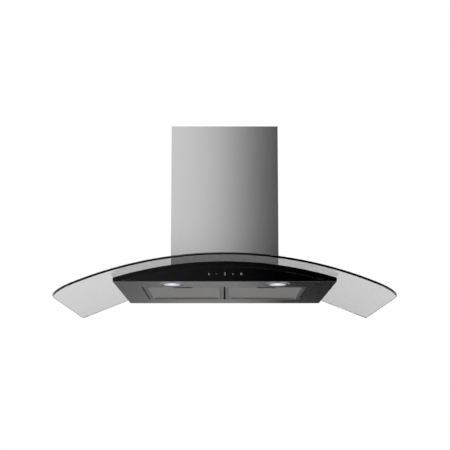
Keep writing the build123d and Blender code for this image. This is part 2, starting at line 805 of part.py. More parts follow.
# ---------------------------------------------------------------- blower box and what it hangs on
flange_blank = bent_sheet(
    flange_top_r, sheet, box_w + 2 * box_flange, -box_back + box_flange, box_d + 2 * box_flange
)
below_flange = arch_block(
    panel_top_r + lay, box_w + 4 * box_flange, under_z - crown_h, 0, box_back + box_d + 2 * box_flange
)
lip_front_y = -bracket_t - lip_reach
lip_top_z = bracket_h / 2 + hook_drop
hook_top_z = lip_top_z + 2 * lay + hook_t
with BuildPart() as blower_box:
    with BuildSketch(Plane.XY.offset(under_z)):
        with Locations((0, box_y)):
            Rectangle(box_w, box_d)
    extrude(amount=box_top_h)
    with BuildSketch(Plane.XY.offset(under_z)):
        with Locations((0, box_y)):
            Rectangle(box_w - 2 * sheet, box_d - 2 * sheet)
    extrude(amount=box_top_h - sheet, mode=Mode.SUBTRACT)
    add(below_flange, mode=Mode.SUBTRACT)
    add(flange_blank)
    with BuildSketch(Plane.XY.offset(under_z)):
        with Locations((0, box_y)):
            Rectangle(box_w - 2 * sheet, box_d - 2 * sheet)
        with Locations(*box_screw_spots):
            Circle(box_screw_r + screw_fit)
    extrude(amount=crown_h, mode=Mode.SUBTRACT)
    with BuildSketch(Plane.XY.offset(box_top_z - sheet)):
        with Locations((0, collar_y)):
            Circle(collar_r - collar_wall)
    extrude(amount=sheet, mode=Mode.SUBTRACT)
    # hook on the back, open downwards
    with BuildSketch(Plane.XY.offset(hook_top_z - hook_h)):
        with Locations((0, -box_back + hook_t / 2)):
            Rectangle(bracket_w, hook_t)
    extrude(amount=hook_h)
    hook_reach = box_back - bracket_t - seat
    with BuildSketch(Plane.XY.offset(hook_top_z - hook_t)):
        with Locations((0, -box_back + hook_reach / 2)):
            Rectangle(bracket_w, hook_reach)
    extrude(amount=hook_t)
    with BuildSketch(Plane.XY.offset(hook_top_z - hook_drop + hook_t)):
        with Locations((0, -box_back + hook_reach - hook_t / 2)):
            Rectangle(bracket_w, hook_t)
    extrude(amount=hook_drop - hook_t)
    # hole for the lead to the terminal box
    with Locations((box_w / 2, terminal_y, under_z + terminal_z)):
        Cylinder(lead_hole_r, 4 * sheet, rotation=(0, 90, 0), mode=Mode.SUBTRACT)
keep(blower_box, "blower_box")

with BuildPart() as wall_bracket:
    with BuildSketch(Plane.XZ):
        Rectangle(bracket_w, bracket_h)
        with GridLocations(2 * bracket_hole_x, 2 * bracket_hole_z, 2, 2):
            Circle(bracket_hole_r, mode=Mode.SUBTRACT)
    extrude(amount=bracket_t)
    with BuildSketch(Plane.XY.offset(bracket_h / 2 - bracket_t)):
        with Locations((0, lip_front_y / 2)):
            Rectangle(bracket_w, -lip_front_y)
    extrude(amount=bracket_t)
    with BuildSketch(Plane.XY.offset(bracket_h / 2 - bracket_t)):
        with Locations((0, lip_front_y + bracket_t / 2)):
            Rectangle(bracket_w, bracket_t)
    extrude(amount=lip_top_z - bracket_h / 2 + bracket_t)
keep(wall_bracket, "wall_bracket")

with BuildPart() as panel_screws:
    for x, y in box_screw_spots:
        # the head clears the sloping flange at its higher side
        head_z = on_arch(flange_top_r, abs(x) - box_screw_head_r)[1] + lay
        with BuildSketch(Plane.XY.offset(head_z)):
            with Locations((x, y)):
                Circle(box_screw_head_r)
        extrude(amount=box_screw_head_t)
        with BuildSketch(Plane.XY.offset(head_z)):
            with Locations((x, y)):
                Circle(box_screw_r)
        extrude(amount=-box_screw_l)
    # two more hold the chimney cover to its brackets
    for side, _ in SIDES:
        outside_x = side * (chimney_w / 2 + lay)
        with Locations((outside_x + side * box_screw_head_t / 2, chimney_screw_y, under_z + chimney_screw_h)):
            Cylinder(box_screw_head_r, box_screw_head_t, rotation=(0, 90, 0))
        with Locations((outside_x - side * box_screw_l / 4, chimney_screw_y, under_z + chimney_screw_h)):
            Cylinder(box_screw_r, box_screw_l / 2, rotation=(0, 90, 0))
keep(panel_screws, "panel_screws")

# ---------------------------------------------------------------- fan scroll
# drawn looking along +x: u runs forward from the fan's axis and v runs up
fan_plane = Plane(origin=(0, fan_y, fan_z), x_dir=(0, -1, 0), z_dir=(-1, 0, 0))


def volute(grow):
    """Outline of the scroll: three quarter turns that widen by a step each, then a straight outlet."""
    half = volute_step / 2
    r1 = volute_r + grow
    r2 = r1 + volute_step
    r3 = r2 + volute_step
    with BuildSketch() as outline:
        with BuildLine():
            first = CenterArc((-half, -half), r1, 90, 90)
            CenterArc((half, -half), r2, 180, 90)
            last = CenterArc((half, half), r3, 270, 90)
            Polyline(
                last @ 1,
                (half + r3, outlet_h),
                (tongue_u - grow, outlet_h),
                (tongue_u - grow, r1 - half),
                first @ 0,
            )
        make_face()
    return outline.sketch


volute_inside = volute(0)
volute_outside = volute(scroll_wall)
volute_seat = volute(scroll_wall + lay)
arm_angles = [arm_first + 360 / arm_count * turn for turn in range(arm_count)]

for side, name in SIDES:
    with BuildPart() as scroll_half:
        with BuildSketch(fan_plane):
            add(volute_outside)
        extrude(amount=-side * scroll_half_w)
        with BuildSketch(fan_plane):
            add(volute_inside)
        extrude(amount=-side * (scroll_half_w - scroll_wall), mode=Mode.SUBTRACT)
        with BuildSketch(fan_plane.offset(-side * scroll_half_w)):
            Circle(inlet_r + scroll_wall)
        extrude(amount=-side * bell_l)
        with BuildSketch(fan_plane.offset(-side * (scroll_half_w + bell_l))):
            Circle(inlet_r)
        extrude(amount=side * (scroll_wall + bell_l), mode=Mode.SUBTRACT)
        if side < 0:
            with BuildSketch(fan_plane.offset(scroll_half_w)):
                with PolarLocations(arm_reach, arm_count, start_angle=arm_angles[0]):
                    Circle(small_screw_r + lay)
            extrude(amount=-scroll_wall, mode=Mode.SUBTRACT)
    keep(scroll_half, f"scroll_half_{name}")

foot_start = volute_step / 2 + volute_r - scroll_wall
foot_end = -fan_y - box_back - sheet
with BuildPart() as scroll_feet:
    for side, _ in SIDES:
        with BuildSketch(fan_plane.offset(side * scroll_foot_x - scroll_foot_w / 2)):
            with Locations((-(foot_start + foot_end) / 2, -volute_step / 2)):
                Rectangle(foot_end - foot_start, scroll_foot_h)
            add(volute_seat, mode=Mode.SUBTRACT)
        extrude(amount=scroll_foot_w)
keep(scroll_feet, "scroll_feet")

guard_start = -(scroll_half_w + bell_l + lay)
with BuildPart() as inlet_guard:
    for ring_r in (inlet_r / 3, inlet_r * 2 / 3, inlet_r + guard_bar / 2):
        with BuildSketch(fan_plane.offset(guard_start)):
            Circle(ring_r + guard_bar / 2)
            Circle(ring_r - guard_bar / 2, mode=Mode.SUBTRACT)
        extrude(amount=-guard_bar)
    with BuildSketch(fan_plane.offset(guard_start)):
        with PolarLocations(inlet_r / 2, guard_spokes):
            Rectangle(inlet_r, guard_bar)
    extrude(amount=-guard_bar)
keep(inlet_guard, "inlet_guard")

# ---------------------------------------------------------------- motor and impeller
motor_end = motor_start + motor_l
with BuildPart() as motor_case:
    with BuildSketch(fan_plane.offset(motor_start)):
        Circle(motor_r)
    extrude(amount=motor_l)
    with BuildSketch(fan_plane.offset(motor_start + motor_wall)):
        Circle(motor_r - motor_wall)
    extrude(amount=motor_l - 2 * motor_wall, mode=Mode.SUBTRACT)
    with BuildSketch(fan_plane.offset(motor_start)):
        Circle(shaft_r + shaft_hole_gap)
    extrude(amount=motor_wall, mode=Mode.SUBTRACT)
keep(motor_case, "motor_case")

motor_middle = motor_start + motor_l / 2
with BuildPart() as motor_stator:
    with BuildSketch(fan_plane.offset(motor_middle - stator_l / 2)):
        Circle(motor_r - motor_wall)
        Circle(rotor_r + air_gap, mode=Mode.SUBTRACT)
    extrude(amount=stator_l)
keep(motor_stator, "motor_stator")

with BuildPart() as motor_bearings:
    for start in (motor_start + motor_wall, motor_end - motor_wall - bearing_l):
        with BuildSketch(fan_plane.offset(start)):
            Circle(bearing_r)
            Circle(shaft_r + shaft_fit, mode=Mode.SUBTRACT)
        extrude(amount=bearing_l)
keep(motor_bearings, "motor_bearings")

arm_start = scroll_half_w + grommet_l
with BuildPart() as motor_bracket:
    with BuildSketch(fan_plane.offset(arm_start + arm_t - clamp_l)):
        Circle(motor_r + lay + clamp_t)
    extrude(amount=clamp_l)
    with BuildSketch(fan_plane.offset(arm_start)):
        for angle in arm_angles:
            arm_middle = arm_reach / 2
            with PolarLocations(arm_middle, 1, start_angle=angle):
                Rectangle(arm_reach, arm_w)
        with PolarLocations(arm_reach, arm_count, start_angle=arm_angles[0]):
            Circle(arm_w / 2)
    extrude(amount=arm_t)
    with BuildSketch(fan_plane.offset(arm_start + arm_t - clamp_l)):
        Circle(motor_r + lay)
        with PolarLocations(arm_reach, arm_count, start_angle=arm_angles[0]):
            Circle(small_screw_r + lay)
    extrude(amount=clamp_l, mode=Mode.SUBTRACT)
keep(motor_bracket, "motor_bracket")

with BuildPart() as motor_grommets:
    with BuildSketch(fan_plane.offset(scroll_half_w)):
        with PolarLocations(arm_reach, arm_count, start_angle=arm_angles[0]):
            Circle(grommet_r)
            Circle(small_screw_r + lay, mode=Mode.SUBTRACT)
    extrude(amount=grommet_l)
keep(motor_grommets, "motor_grommets")

with BuildPart() as small_screws:
    with BuildSketch(fan_plane.offset(arm_start + arm_t)):
        with PolarLocations(arm_reach, arm_count, start_angle=arm_angles[0]):
            Circle(small_head_r)
    extrude(amount=small_head_t)
    with BuildSketch(fan_plane.offset(arm_start + arm_t)):
        with PolarLocations(arm_reach, arm_count, start_angle=arm_angles[0]):
            Circle(small_screw_r)
    extrude(amount=-arm_t - grommet_l - scroll_wall)
    # two more hold the control housing to the body
    control_spots = [(-control_screw_x, key_z), (control_screw_x, key_z)]
    with BuildSketch(Plane.XZ.offset(-mouth_y - housing_wall)):
        with Locations(*control_spots):
            Circle(small_head_r)
    extrude(amount=-small_head_t)
    with BuildSketch(Plane.XZ.offset(-mouth_y - housing_wall)):
        with Locations(*control_spots):
            Circle(small_screw_r)
    extrude(amount=housing_wall + sheet)
keep(small_screws, "small_screws")

shaft_front = hub_half_l + nut_t + shaft_r
shaft_back = motor_end - motor_wall - lay
with BuildPart() as motor_shaft:
    with BuildSketch(fan_plane.offset(-shaft_front)):
        Circle(shaft_r)
    extrude(amount=shaft_front + shaft_back)
keep(motor_shaft, "motor_shaft")

with BuildPart() as motor_rotor:
    with BuildSketch(fan_plane.offset(motor_middle - rotor_l / 2)):
        Circle(rotor_r)
        Circle(shaft_r + press, mode=Mode.SUBTRACT)
    extrude(amount=rotor_l)
keep(motor_rotor, "motor_rotor")

with BuildPart() as impeller:
    with BuildSketch(fan_plane.offset(-wheel_half_w)):
        with PolarLocations(wheel_r - blade_l / 2, blade_count):
            Rectangle(blade_l, blade_t, rotation=blade_turn)
    extrude(amount=2 * wheel_half_w)
    for start in (-wheel_half_w, wheel_half_w - wheel_plate_t):
        with BuildSketch(fan_plane.offset(start)):
            Circle(wheel_r)
            Circle(wheel_r - blade_l, mode=Mode.SUBTRACT)
        extrude(amount=wheel_plate_t)
    with BuildSketch(fan_plane.offset(-wheel_plate_t / 2)):
        Circle(wheel_r)
    extrude(amount=wheel_plate_t)
    with BuildSketch(fan_plane.offset(-hub_half_l)):
        Circle(hub_r)
    extrude(amount=2 * hub_half_l)
    with BuildSketch(fan_plane.offset(-hub_half_l)):
        Circle(shaft_r + press)
    extrude(amount=2 * hub_half_l, mode=Mode.SUBTRACT)
keep(impeller, "impeller")

with BuildPart() as impeller_nut:
    with BuildSketch(fan_plane.offset(-hub_half_l)):
        RegularPolygon(nut_r, 6)
        Circle(shaft_r + press, mode=Mode.SUBTRACT)
    extrude(amount=-nut_t)
keep(impeller_nut, "impeller_nut")

# ---------------------------------------------------------------- outlet and dampers
duct_r = collar_r - collar_wall
outlet_z = fan_z + outlet_h
outlet_front_u = volute_step / 2 + volute_r + 2 * volute_step
outlet_y = fan_y - (outlet_front_u + tongue_u) / 2
outlet_d = outlet_front_u - tongue_u
outlet_w = 2 * (scroll_half_w - scroll_wall)
with BuildPart() as outlet_adapter:
    with BuildSketch(Plane.XY.offset(outlet_z)):
        with Locations((0, outlet_y)):
            Rectangle(outlet_w + 2 * scroll_wall, outlet_d + 2 * scroll_wall)
    with BuildSketch(Plane.XY.offset(box_top_z - sheet)):
        with Locations((0, collar_y)):
            Circle(duct_r + scroll_wall)
    loft()
    with BuildSketch(Plane.XY.offset(outlet_z)):
        with Locations((0, outlet_y)):
            Rectangle(outlet_w, outlet_d)
    with BuildSketch(Plane.XY.offset(box_top_z - sheet)):
        with Locations((0, collar_y)):
            Circle(duct_r)
    loft(mode=Mode.SUBTRACT)
keep(outlet_adapter, "outlet_adapter")

pin_z = box_top_z + flap_h
ledge_top_z = pin_z - flap_t / 2 - seat
with BuildPart() as outlet_collar:
    with BuildSketch(Plane.XY.offset(box_top_z)):
        with Locations((0, collar_y)):
            Circle(collar_flange_r)
    extrude(amount=collar_flange_t)
    with BuildSketch(Plane.XY.offset(box_top_z)):
        with Locations((0, collar_y)):
            Circle(collar_r)
    extrude(amount=collar_h)
    with BuildSketch(Plane.XY.offset(box_top_z)):
        with Locations((0, collar_y)):
            Circle(duct_r)
    extrude(amount=collar_h, mode=Mode.SUBTRACT)
    # ledge that the shut flaps rest on
    with BuildSketch(Plane.XY.offset(ledge_top_z)):
        with Locations((0, collar_y)):
            Circle(duct_r + collar_wall / 2)
            Circle(duct_r - ledge_w, mode=Mode.SUBTRACT)
    extrude(amount=-ledge_t)
    with Locations((0, collar_y, pin_z)):
        Cylinder(pin_r + press, 3 * collar_r, rotation=(0, 90, 0), mode=Mode.SUBTRACT)
keep(outlet_collar, "outlet_collar")

with BuildPart() as damper_pin:
    with Locations((0, collar_y, pin_z)):
        Cylinder(pin_r, 2 * collar_r - collar_wall / 2, rotation=(0, 90, 0))
keep(damper_pin, "damper_pin")

knuckle_step = knuckle_l + knuckle_gap
flap_r = duct_r - flap_gap
for hand, name in ((-1, "front"), (1, "rear")):
    # the two flaps' knuckles take turns along the pin
    first_x = hand * (knuckle_step / 2) - knuckle_step
    knuckle_spots = [first_x, first_x + 2 * knuckle_step]
    with BuildPart() as damper_flap:
        with BuildSketch(Plane.XY.offset(pin_z - flap_t / 2)):
            with Locations((0, collar_y)):
                Circle(flap_r)
            with Locations((0, collar_y - hand * (flap_r - flap_root))):
                Rectangle(2 * flap_r, 2 * flap_r, mode=Mode.SUBTRACT)
            with Locations(*[(x, collar_y + hand * flap_root / 2) for x in knuckle_spots]):
                Rectangle(knuckle_l, flap_root)
        extrude(amount=flap_t)
        with Locations(*[(x, collar_y, pin_z) for x in knuckle_spots]):
            Cylinder(knuckle_r, knuckle_l, rotation=(0, 90, 0))
        with Locations((0, collar_y, pin_z)):
            Cylinder(pin_r + pin_fit, 2 * collar_r, rotation=(0, 90, 0), mode=Mode.SUBTRACT)
    keep(damper_flap, f"damper_flap_{name}")

# ---------------------------------------------------------------- electrical pieces
terminal_x = box_w / 2 + lay
side_plane = Plane(origin=(terminal_x, 0, under_z), x_dir=(0, 1, 0), z_dir=(1, 0, 0))
with BuildPart() as terminal_box:
    with BuildSketch(side_plane):
        with Locations((terminal_y, terminal_z)):
            Rectangle(terminal_d, terminal_h)
    extrude(amount=terminal_t)
    with BuildSketch(side_plane.offset(terminal_wall)):
        with Locations((terminal_y, terminal_z)):
            Rectangle(terminal_d - 2 * terminal_wall, terminal_h - 2 * terminal_wall)
    extrude(amount=terminal_t, mode=Mode.SUBTRACT)
    with BuildSketch(side_plane):
        with Locations((terminal_y, terminal_z)):
            Circle(lead_hole_r)
    extrude(amount=terminal_wall, mode=Mode.SUBTRACT)
    with Locations((terminal_x + terminal_t / 2, gland_y, under_z + terminal_z + terminal_h / 2)):
        Cylinder(gland_r + lay, 3 * terminal_wall, mode=Mode.SUBTRACT)
keep(terminal_box, "terminal_box")

with BuildPart() as terminal_lid:
    with BuildSketch(side_plane.offset(terminal_t)):
        with Locations((terminal_y, terminal_z)):
            Rectangle(terminal_d, terminal_h)
    extrude(amount=lid_t)
    fillet(terminal_lid.faces().sort_by(Axis.X)[-1].edges(), lid_edge)
keep(terminal_lid, "terminal_lid")

capacitor_z = under_z + terminal_z - terminal_h / 2 + terminal_wall + capacitor_r + lay
with BuildPart() as run_capacitor:
    with Locations((terminal_x + terminal_wall + capacitor_r + lay, terminal_y, capacitor_z)):
        Cylinder(capacitor_r, capacitor_l, rotation=(90, 0, 0))
keep(run_capacitor, "run_capacitor")

gland_foot_z = under_z + terminal_z + terminal_h / 2 - terminal_wall - gland_nut_t / 2
with BuildPart() as cable_gland:
    with BuildSketch(Plane.XY.offset(gland_foot_z)):
        with Locations((terminal_x + terminal_t / 2, gland_y)):
            Circle(gland_r)
    extrude(amount=gland_h)
    with BuildSketch(Plane.XY.offset(gland_foot_z + terminal_wall + gland_nut_t / 2 + lay)):
        with Locations((terminal_x + terminal_t / 2, gland_y)):
            RegularPolygon(gland_nut_r, 6)
    extrude(amount=gland_nut_t)
    with BuildSketch(Plane.XY.offset(gland_foot_z)):
        with Locations((terminal_x + terminal_t / 2, gland_y)):
            Circle(gland_bore_r)
    extrude(amount=gland_h, mode=Mode.SUBTRACT)
keep(cable_gland, "cable_gland")

# Lead from the controls, over the filters and up past the fan, to the terminal box
lead_top_x = box_w / 2 - lead_rise[-1][0] + 2 * lead_r
lead_points = [
    (lead_start_x, mouth_y + housing_d, key_z),
    (lead_start_x, filter_front_y - lead_turn_gap, key_z),
    (lead_turn_x, filter_front_y + lead_turn_gap, key_z),
]
lead_points += [(box_w / 2 - inwards, box_front_y + back, fan_z + up) for inwards, back, up in lead_rise]
lead_points += [
    (lead_top_x, terminal_y, under_z + terminal_z),
    (terminal_x + lead_end, terminal_y, under_z + terminal_z),
]


def bend_radii(points):
    """Radius at each inner point of a lead's route: as large as the two runs beside it allow."""
    radii = []
    for before, here, after in zip(points, points[1:], points[2:]):
        run_in = Vector(*here) - Vector(*before)
        run_out = Vector(*after) - Vector(*here)
        half_turn = radians(run_in.get_angle(run_out)) / 2
        radii.append(lead_bend_share * min(run_in.length, run_out.length) / tan(half_turn))
    return radii


with BuildPart() as control_lead:
    with BuildLine() as lead_path:
        FilletPolyline(*lead_points, radius=bend_radii(lead_points))
    with BuildSketch(Plane(origin=lead_path.line @ 0, z_dir=lead_path.line % 0)):
        Circle(lead_r)
    sweep(path=lead_path.line)
keep(control_lead, "control_lead")

# ---------------------------------------------------------------- chimney covers
on_glass = arch_block(bend_r + lay, chimney_w + 2 * sheet, under_z - crown_h, 0, chimney_d + 2 * sheet)
with BuildPart() as chimney_cover:
    with BuildSketch(Plane.XY.offset(under_z)):
        with Locations((0, -chimney_d / 2)):
            Rectangle(chimney_w, chimney_d)
            Rectangle(chimney_w - 2 * sheet, chimney_d - 2 * sheet, mode=Mode.SUBTRACT)
        # the back is open between two flanges
        Rectangle(chimney_w - 2 * chimney_flange, 4 * sheet, mode=Mode.SUBTRACT)
    extrude(amount=chimney_top_h)
    add(on_glass, mode=Mode.SUBTRACT)
    with Locations((0, chimney_screw_y, under_z + chimney_screw_h)):
        Cylinder(box_screw_r + screw_fit, 2 * chimney_w, rotation=(0, 90, 0), mode=Mode.SUBTRACT)
keep(chimney_cover, "chimney_cover")

inner_w = chimney_w - 2 * sheet - 2 * slide_gap
inner_d = chimney_d - 2 * sheet - 2 * slide_gap
inner_y = -chimney_d / 2
inner_back_y = inner_y + inner_d / 2
inner_top_z = chimney_top_z - inner_top_gap
inner_h = chimney_top_h - inner_top_gap - inner_bottom_h
ear_x = inner_w / 2 - sheet - lay - ceiling_bracket_t / 2
step_x = ceiling_bracket_w / 2
back_line_y = -ceiling_bracket_t / 2
front_line_y = back_line_y - ceiling_step
stud_y = front_line_y - stud_in
ceiling_z = inner_top_z - ceiling_drop
with BuildPart() as chimney_inner:
    with BuildSketch(Plane.XY.offset(under_z + inner_bottom_h)):
        with Locations((0, inner_y)):
            Rectangle(inner_w, inner_d)
            Rectangle(inner_w - 2 * sheet, inner_d - 2 * sheet, mode=Mode.SUBTRACT)
        with Locations((0, inner_back_y)):
            Rectangle(inner_w - 2 * chimney_flange, 4 * sheet, mode=Mode.SUBTRACT)
    extrude(amount=inner_h)
    # vent slots in the sides, below the top
    slot_plane = Plane(origin=(0, inner_y, inner_top_z - slot_drop), x_dir=(0, 1, 0), z_dir=(1, 0, 0))
    with BuildSketch(slot_plane):
        with GridLocations(0, slot_pitch, 1, slot_count):
            SlotOverall(slot_l, slot_w)
    extrude(amount=chimney_w, both=True, mode=Mode.SUBTRACT)
    # holes that the ceiling bracket's studs snap into
    with Locations((0, stud_y, ceiling_z)):
        Cylinder(stud_r + lay, 2 * chimney_w, rotation=(0, 90, 0), mode=Mode.SUBTRACT)
keep(chimney_inner, "chimney_inner")

strip_x = chimney_w / 2 - sheet - lay - strip_t / 2
strip_foot_z = on_arch(flange_top_r, box_w / 2 - strip_t)[1] + strip_t / 2 + lay
strip_rise_x = box_w / 2 + box_flange + strip_t
strip_over_z = on_arch(bend_r, strip_rise_x - strip_t)[1] + strip_t / 2 + seat
with BuildPart() as chimney_brackets:
    for side, _ in SIDES:
        with BuildSketch(Plane.XZ.offset(-chimney_screw_y - strip_l / 2)):
            with BuildLine():
                Polyline(
                    (side * (box_w / 2 + strip_t), strip_foot_z),
                    (side * strip_rise_x, strip_foot_z),
                    (side * strip_rise_x, strip_over_z),
                    (side * strip_x, strip_over_z),
                    (side * strip_x, under_z + chimney_screw_h + strip_over),
                )
            trace(line_width=strip_t)
        extrude(amount=strip_l)
    with Locations((0, chimney_screw_y, under_z + chimney_screw_h)):
        Cylinder(box_screw_r + lay, 2 * chimney_w, rotation=(0, 90, 0), mode=Mode.SUBTRACT)
keep(chimney_brackets, "chimney_brackets")

with BuildPart() as ceiling_bracket:
    with BuildSketch(Plane.XY.offset(ceiling_z - ceiling_bracket_h / 2)):
        with BuildLine():
            Polyline(
                (-ear_x, front_line_y - ear_l),
                (-ear_x, front_line_y),
                (-step_x, front_line_y),
                (-step_x, back_line_y),
                (step_x, back_line_y),
                (step_x, front_line_y),
                (ear_x, front_line_y),
                (ear_x, front_line_y - ear_l),
            )
        trace(line_width=ceiling_bracket_t)
    extrude(amount=ceiling_bracket_h)
    with BuildSketch(Plane.XZ):
        with Locations((-ceiling_hole_x, ceiling_z), (ceiling_hole_x, ceiling_z)):
            Circle(ceiling_hole_r)
    extrude(amount=3 * ceiling_bracket_t, mode=Mode.SUBTRACT)
    for side, _ in SIDES:
        with Locations((side * (ear_x + inner_w / 2) / 2, stud_y, ceiling_z)):
            Cylinder(stud_r, inner_w / 2 - ear_x, rotation=(0, 90, 0))
keep(ceiling_bracket, "ceiling_bracket")
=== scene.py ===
"""Wall-hung range hood with a curved glass canopy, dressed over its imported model. Lengths in metres.

x runs to the viewer's right, y towards the wall and z up, as in the frame. Sizes of finishes are in
millimetres where their names say so.
"""

import json
import logging
import math
from dataclasses import dataclass
from enum import Enum
from functools import partial
from typing import ClassVar

import bmesh
import bpy
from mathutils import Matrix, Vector
from mathutils.geometry import delaunay_2d_cdt

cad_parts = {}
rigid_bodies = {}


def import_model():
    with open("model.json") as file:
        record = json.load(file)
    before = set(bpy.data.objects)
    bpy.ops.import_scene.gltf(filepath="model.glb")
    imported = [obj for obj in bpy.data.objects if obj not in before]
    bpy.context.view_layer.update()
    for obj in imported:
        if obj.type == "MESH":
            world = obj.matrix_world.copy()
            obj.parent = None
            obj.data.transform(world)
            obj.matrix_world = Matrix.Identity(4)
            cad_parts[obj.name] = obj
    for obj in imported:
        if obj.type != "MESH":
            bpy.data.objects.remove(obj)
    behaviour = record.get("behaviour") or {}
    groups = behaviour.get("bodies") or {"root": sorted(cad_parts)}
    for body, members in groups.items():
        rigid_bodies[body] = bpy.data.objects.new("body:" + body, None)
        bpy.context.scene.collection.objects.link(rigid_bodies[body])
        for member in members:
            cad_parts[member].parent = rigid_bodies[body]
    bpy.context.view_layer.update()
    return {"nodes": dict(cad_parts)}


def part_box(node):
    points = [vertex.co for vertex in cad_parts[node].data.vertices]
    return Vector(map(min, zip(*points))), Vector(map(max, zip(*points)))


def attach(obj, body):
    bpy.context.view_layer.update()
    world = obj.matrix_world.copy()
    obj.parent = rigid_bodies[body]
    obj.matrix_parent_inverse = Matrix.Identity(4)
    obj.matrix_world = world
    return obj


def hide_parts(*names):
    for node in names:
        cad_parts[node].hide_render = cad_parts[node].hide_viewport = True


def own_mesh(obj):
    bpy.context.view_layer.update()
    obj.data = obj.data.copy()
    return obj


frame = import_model()
log = logging.getLogger("hood")

Point = tuple[float, float, float]
Flat = tuple[float, float]
# A screw's seat, the way its head points and its shank's length.
Seat = tuple[Point, Point, float]
Node, Socket, Tree = bpy.types.Node, bpy.types.NodeSocket, bpy.types.NodeTree
Source = Node | Socket
Material, Mesh, Shape = bpy.types.Material, bpy.types.Mesh, bmesh.types.BMesh
Loop = list[bmesh.types.BMVert]

WHITE = (1.0, 1.0, 1.0, 1.0)
# Left and right, as names and as signs of x.
SIDES = ("left", "right")
HANDS = (-1, 1)


def join(node: Node, links: dict[str | int, Source]) -> None:
    """Feeds a node's inputs.

    Args:
        node: The node.
        links: What feeds each input: a socket, or a node for its first output.
    """
    for key, source in links.items():
        socket = source.outputs[0] if isinstance(source, Node) else source
        node.id_data.links.new(socket, node.inputs[key])


def add_node(
    tree: Tree, kind: str, values: dict | None = None, links: dict | None = None, **settings: object
) -> Node:
    """Adds one node to a tree.

    Args:
        tree: The material's, world's or geometry tree.
        kind: Blender's name for the node.
        values: Values of its inputs, by name or number.
        links: What feeds its inputs, by name or number.
        settings: The node's own settings.

    Returns:
        The new node.
    """
    node = tree.nodes.new(kind)
    for name, value in settings.items():
        setattr(node, name, value)
    for key, value in (values or {}).items():
        node.inputs[key].default_value = value
    join(node, links or {})
    return node


def blank_material(name: str) -> Material:
    """Makes a material whose tree is empty.

    Args:
        name: Its name.

    Returns:
        The material.
    """
    material = bpy.data.materials.new(name)
    material.use_nodes = True
    material.node_tree.nodes.clear()
    return material


def linear(code: str) -> tuple[float, float, float, float]:
    """Turns an sRGB hex colour into linear light.

    Args:
        code: Six hex digits.

    Returns:
        Red, green, blue and an alpha of one.
    """
    parts = [int(code[start : start + 2], 16) / 255 for start in (0, 2, 4)]
    lit = [part / 12.92 if part <= 0.04045 else ((part + 0.055) / 1.055) ** 2.4 for part in parts]
    return (lit[0], lit[1], lit[2], 1.0)


@dataclass(frozen=True)
class Coat:
    """A finish in the making."""

    tree: Tree  # The material's tree.
    shader: Node  # Its surface shader.
    place: Socket  # The point on the piece.


class Grain(Enum):
    """Way that the fine lines of a surface run, as their stretch along x, y and z."""

    NONE = (1.0, 1.0, 1.0)
    ACROSS = (120.0, 1.0, 1.0)
    UPRIGHT = (1.0, 1.0, 120.0)


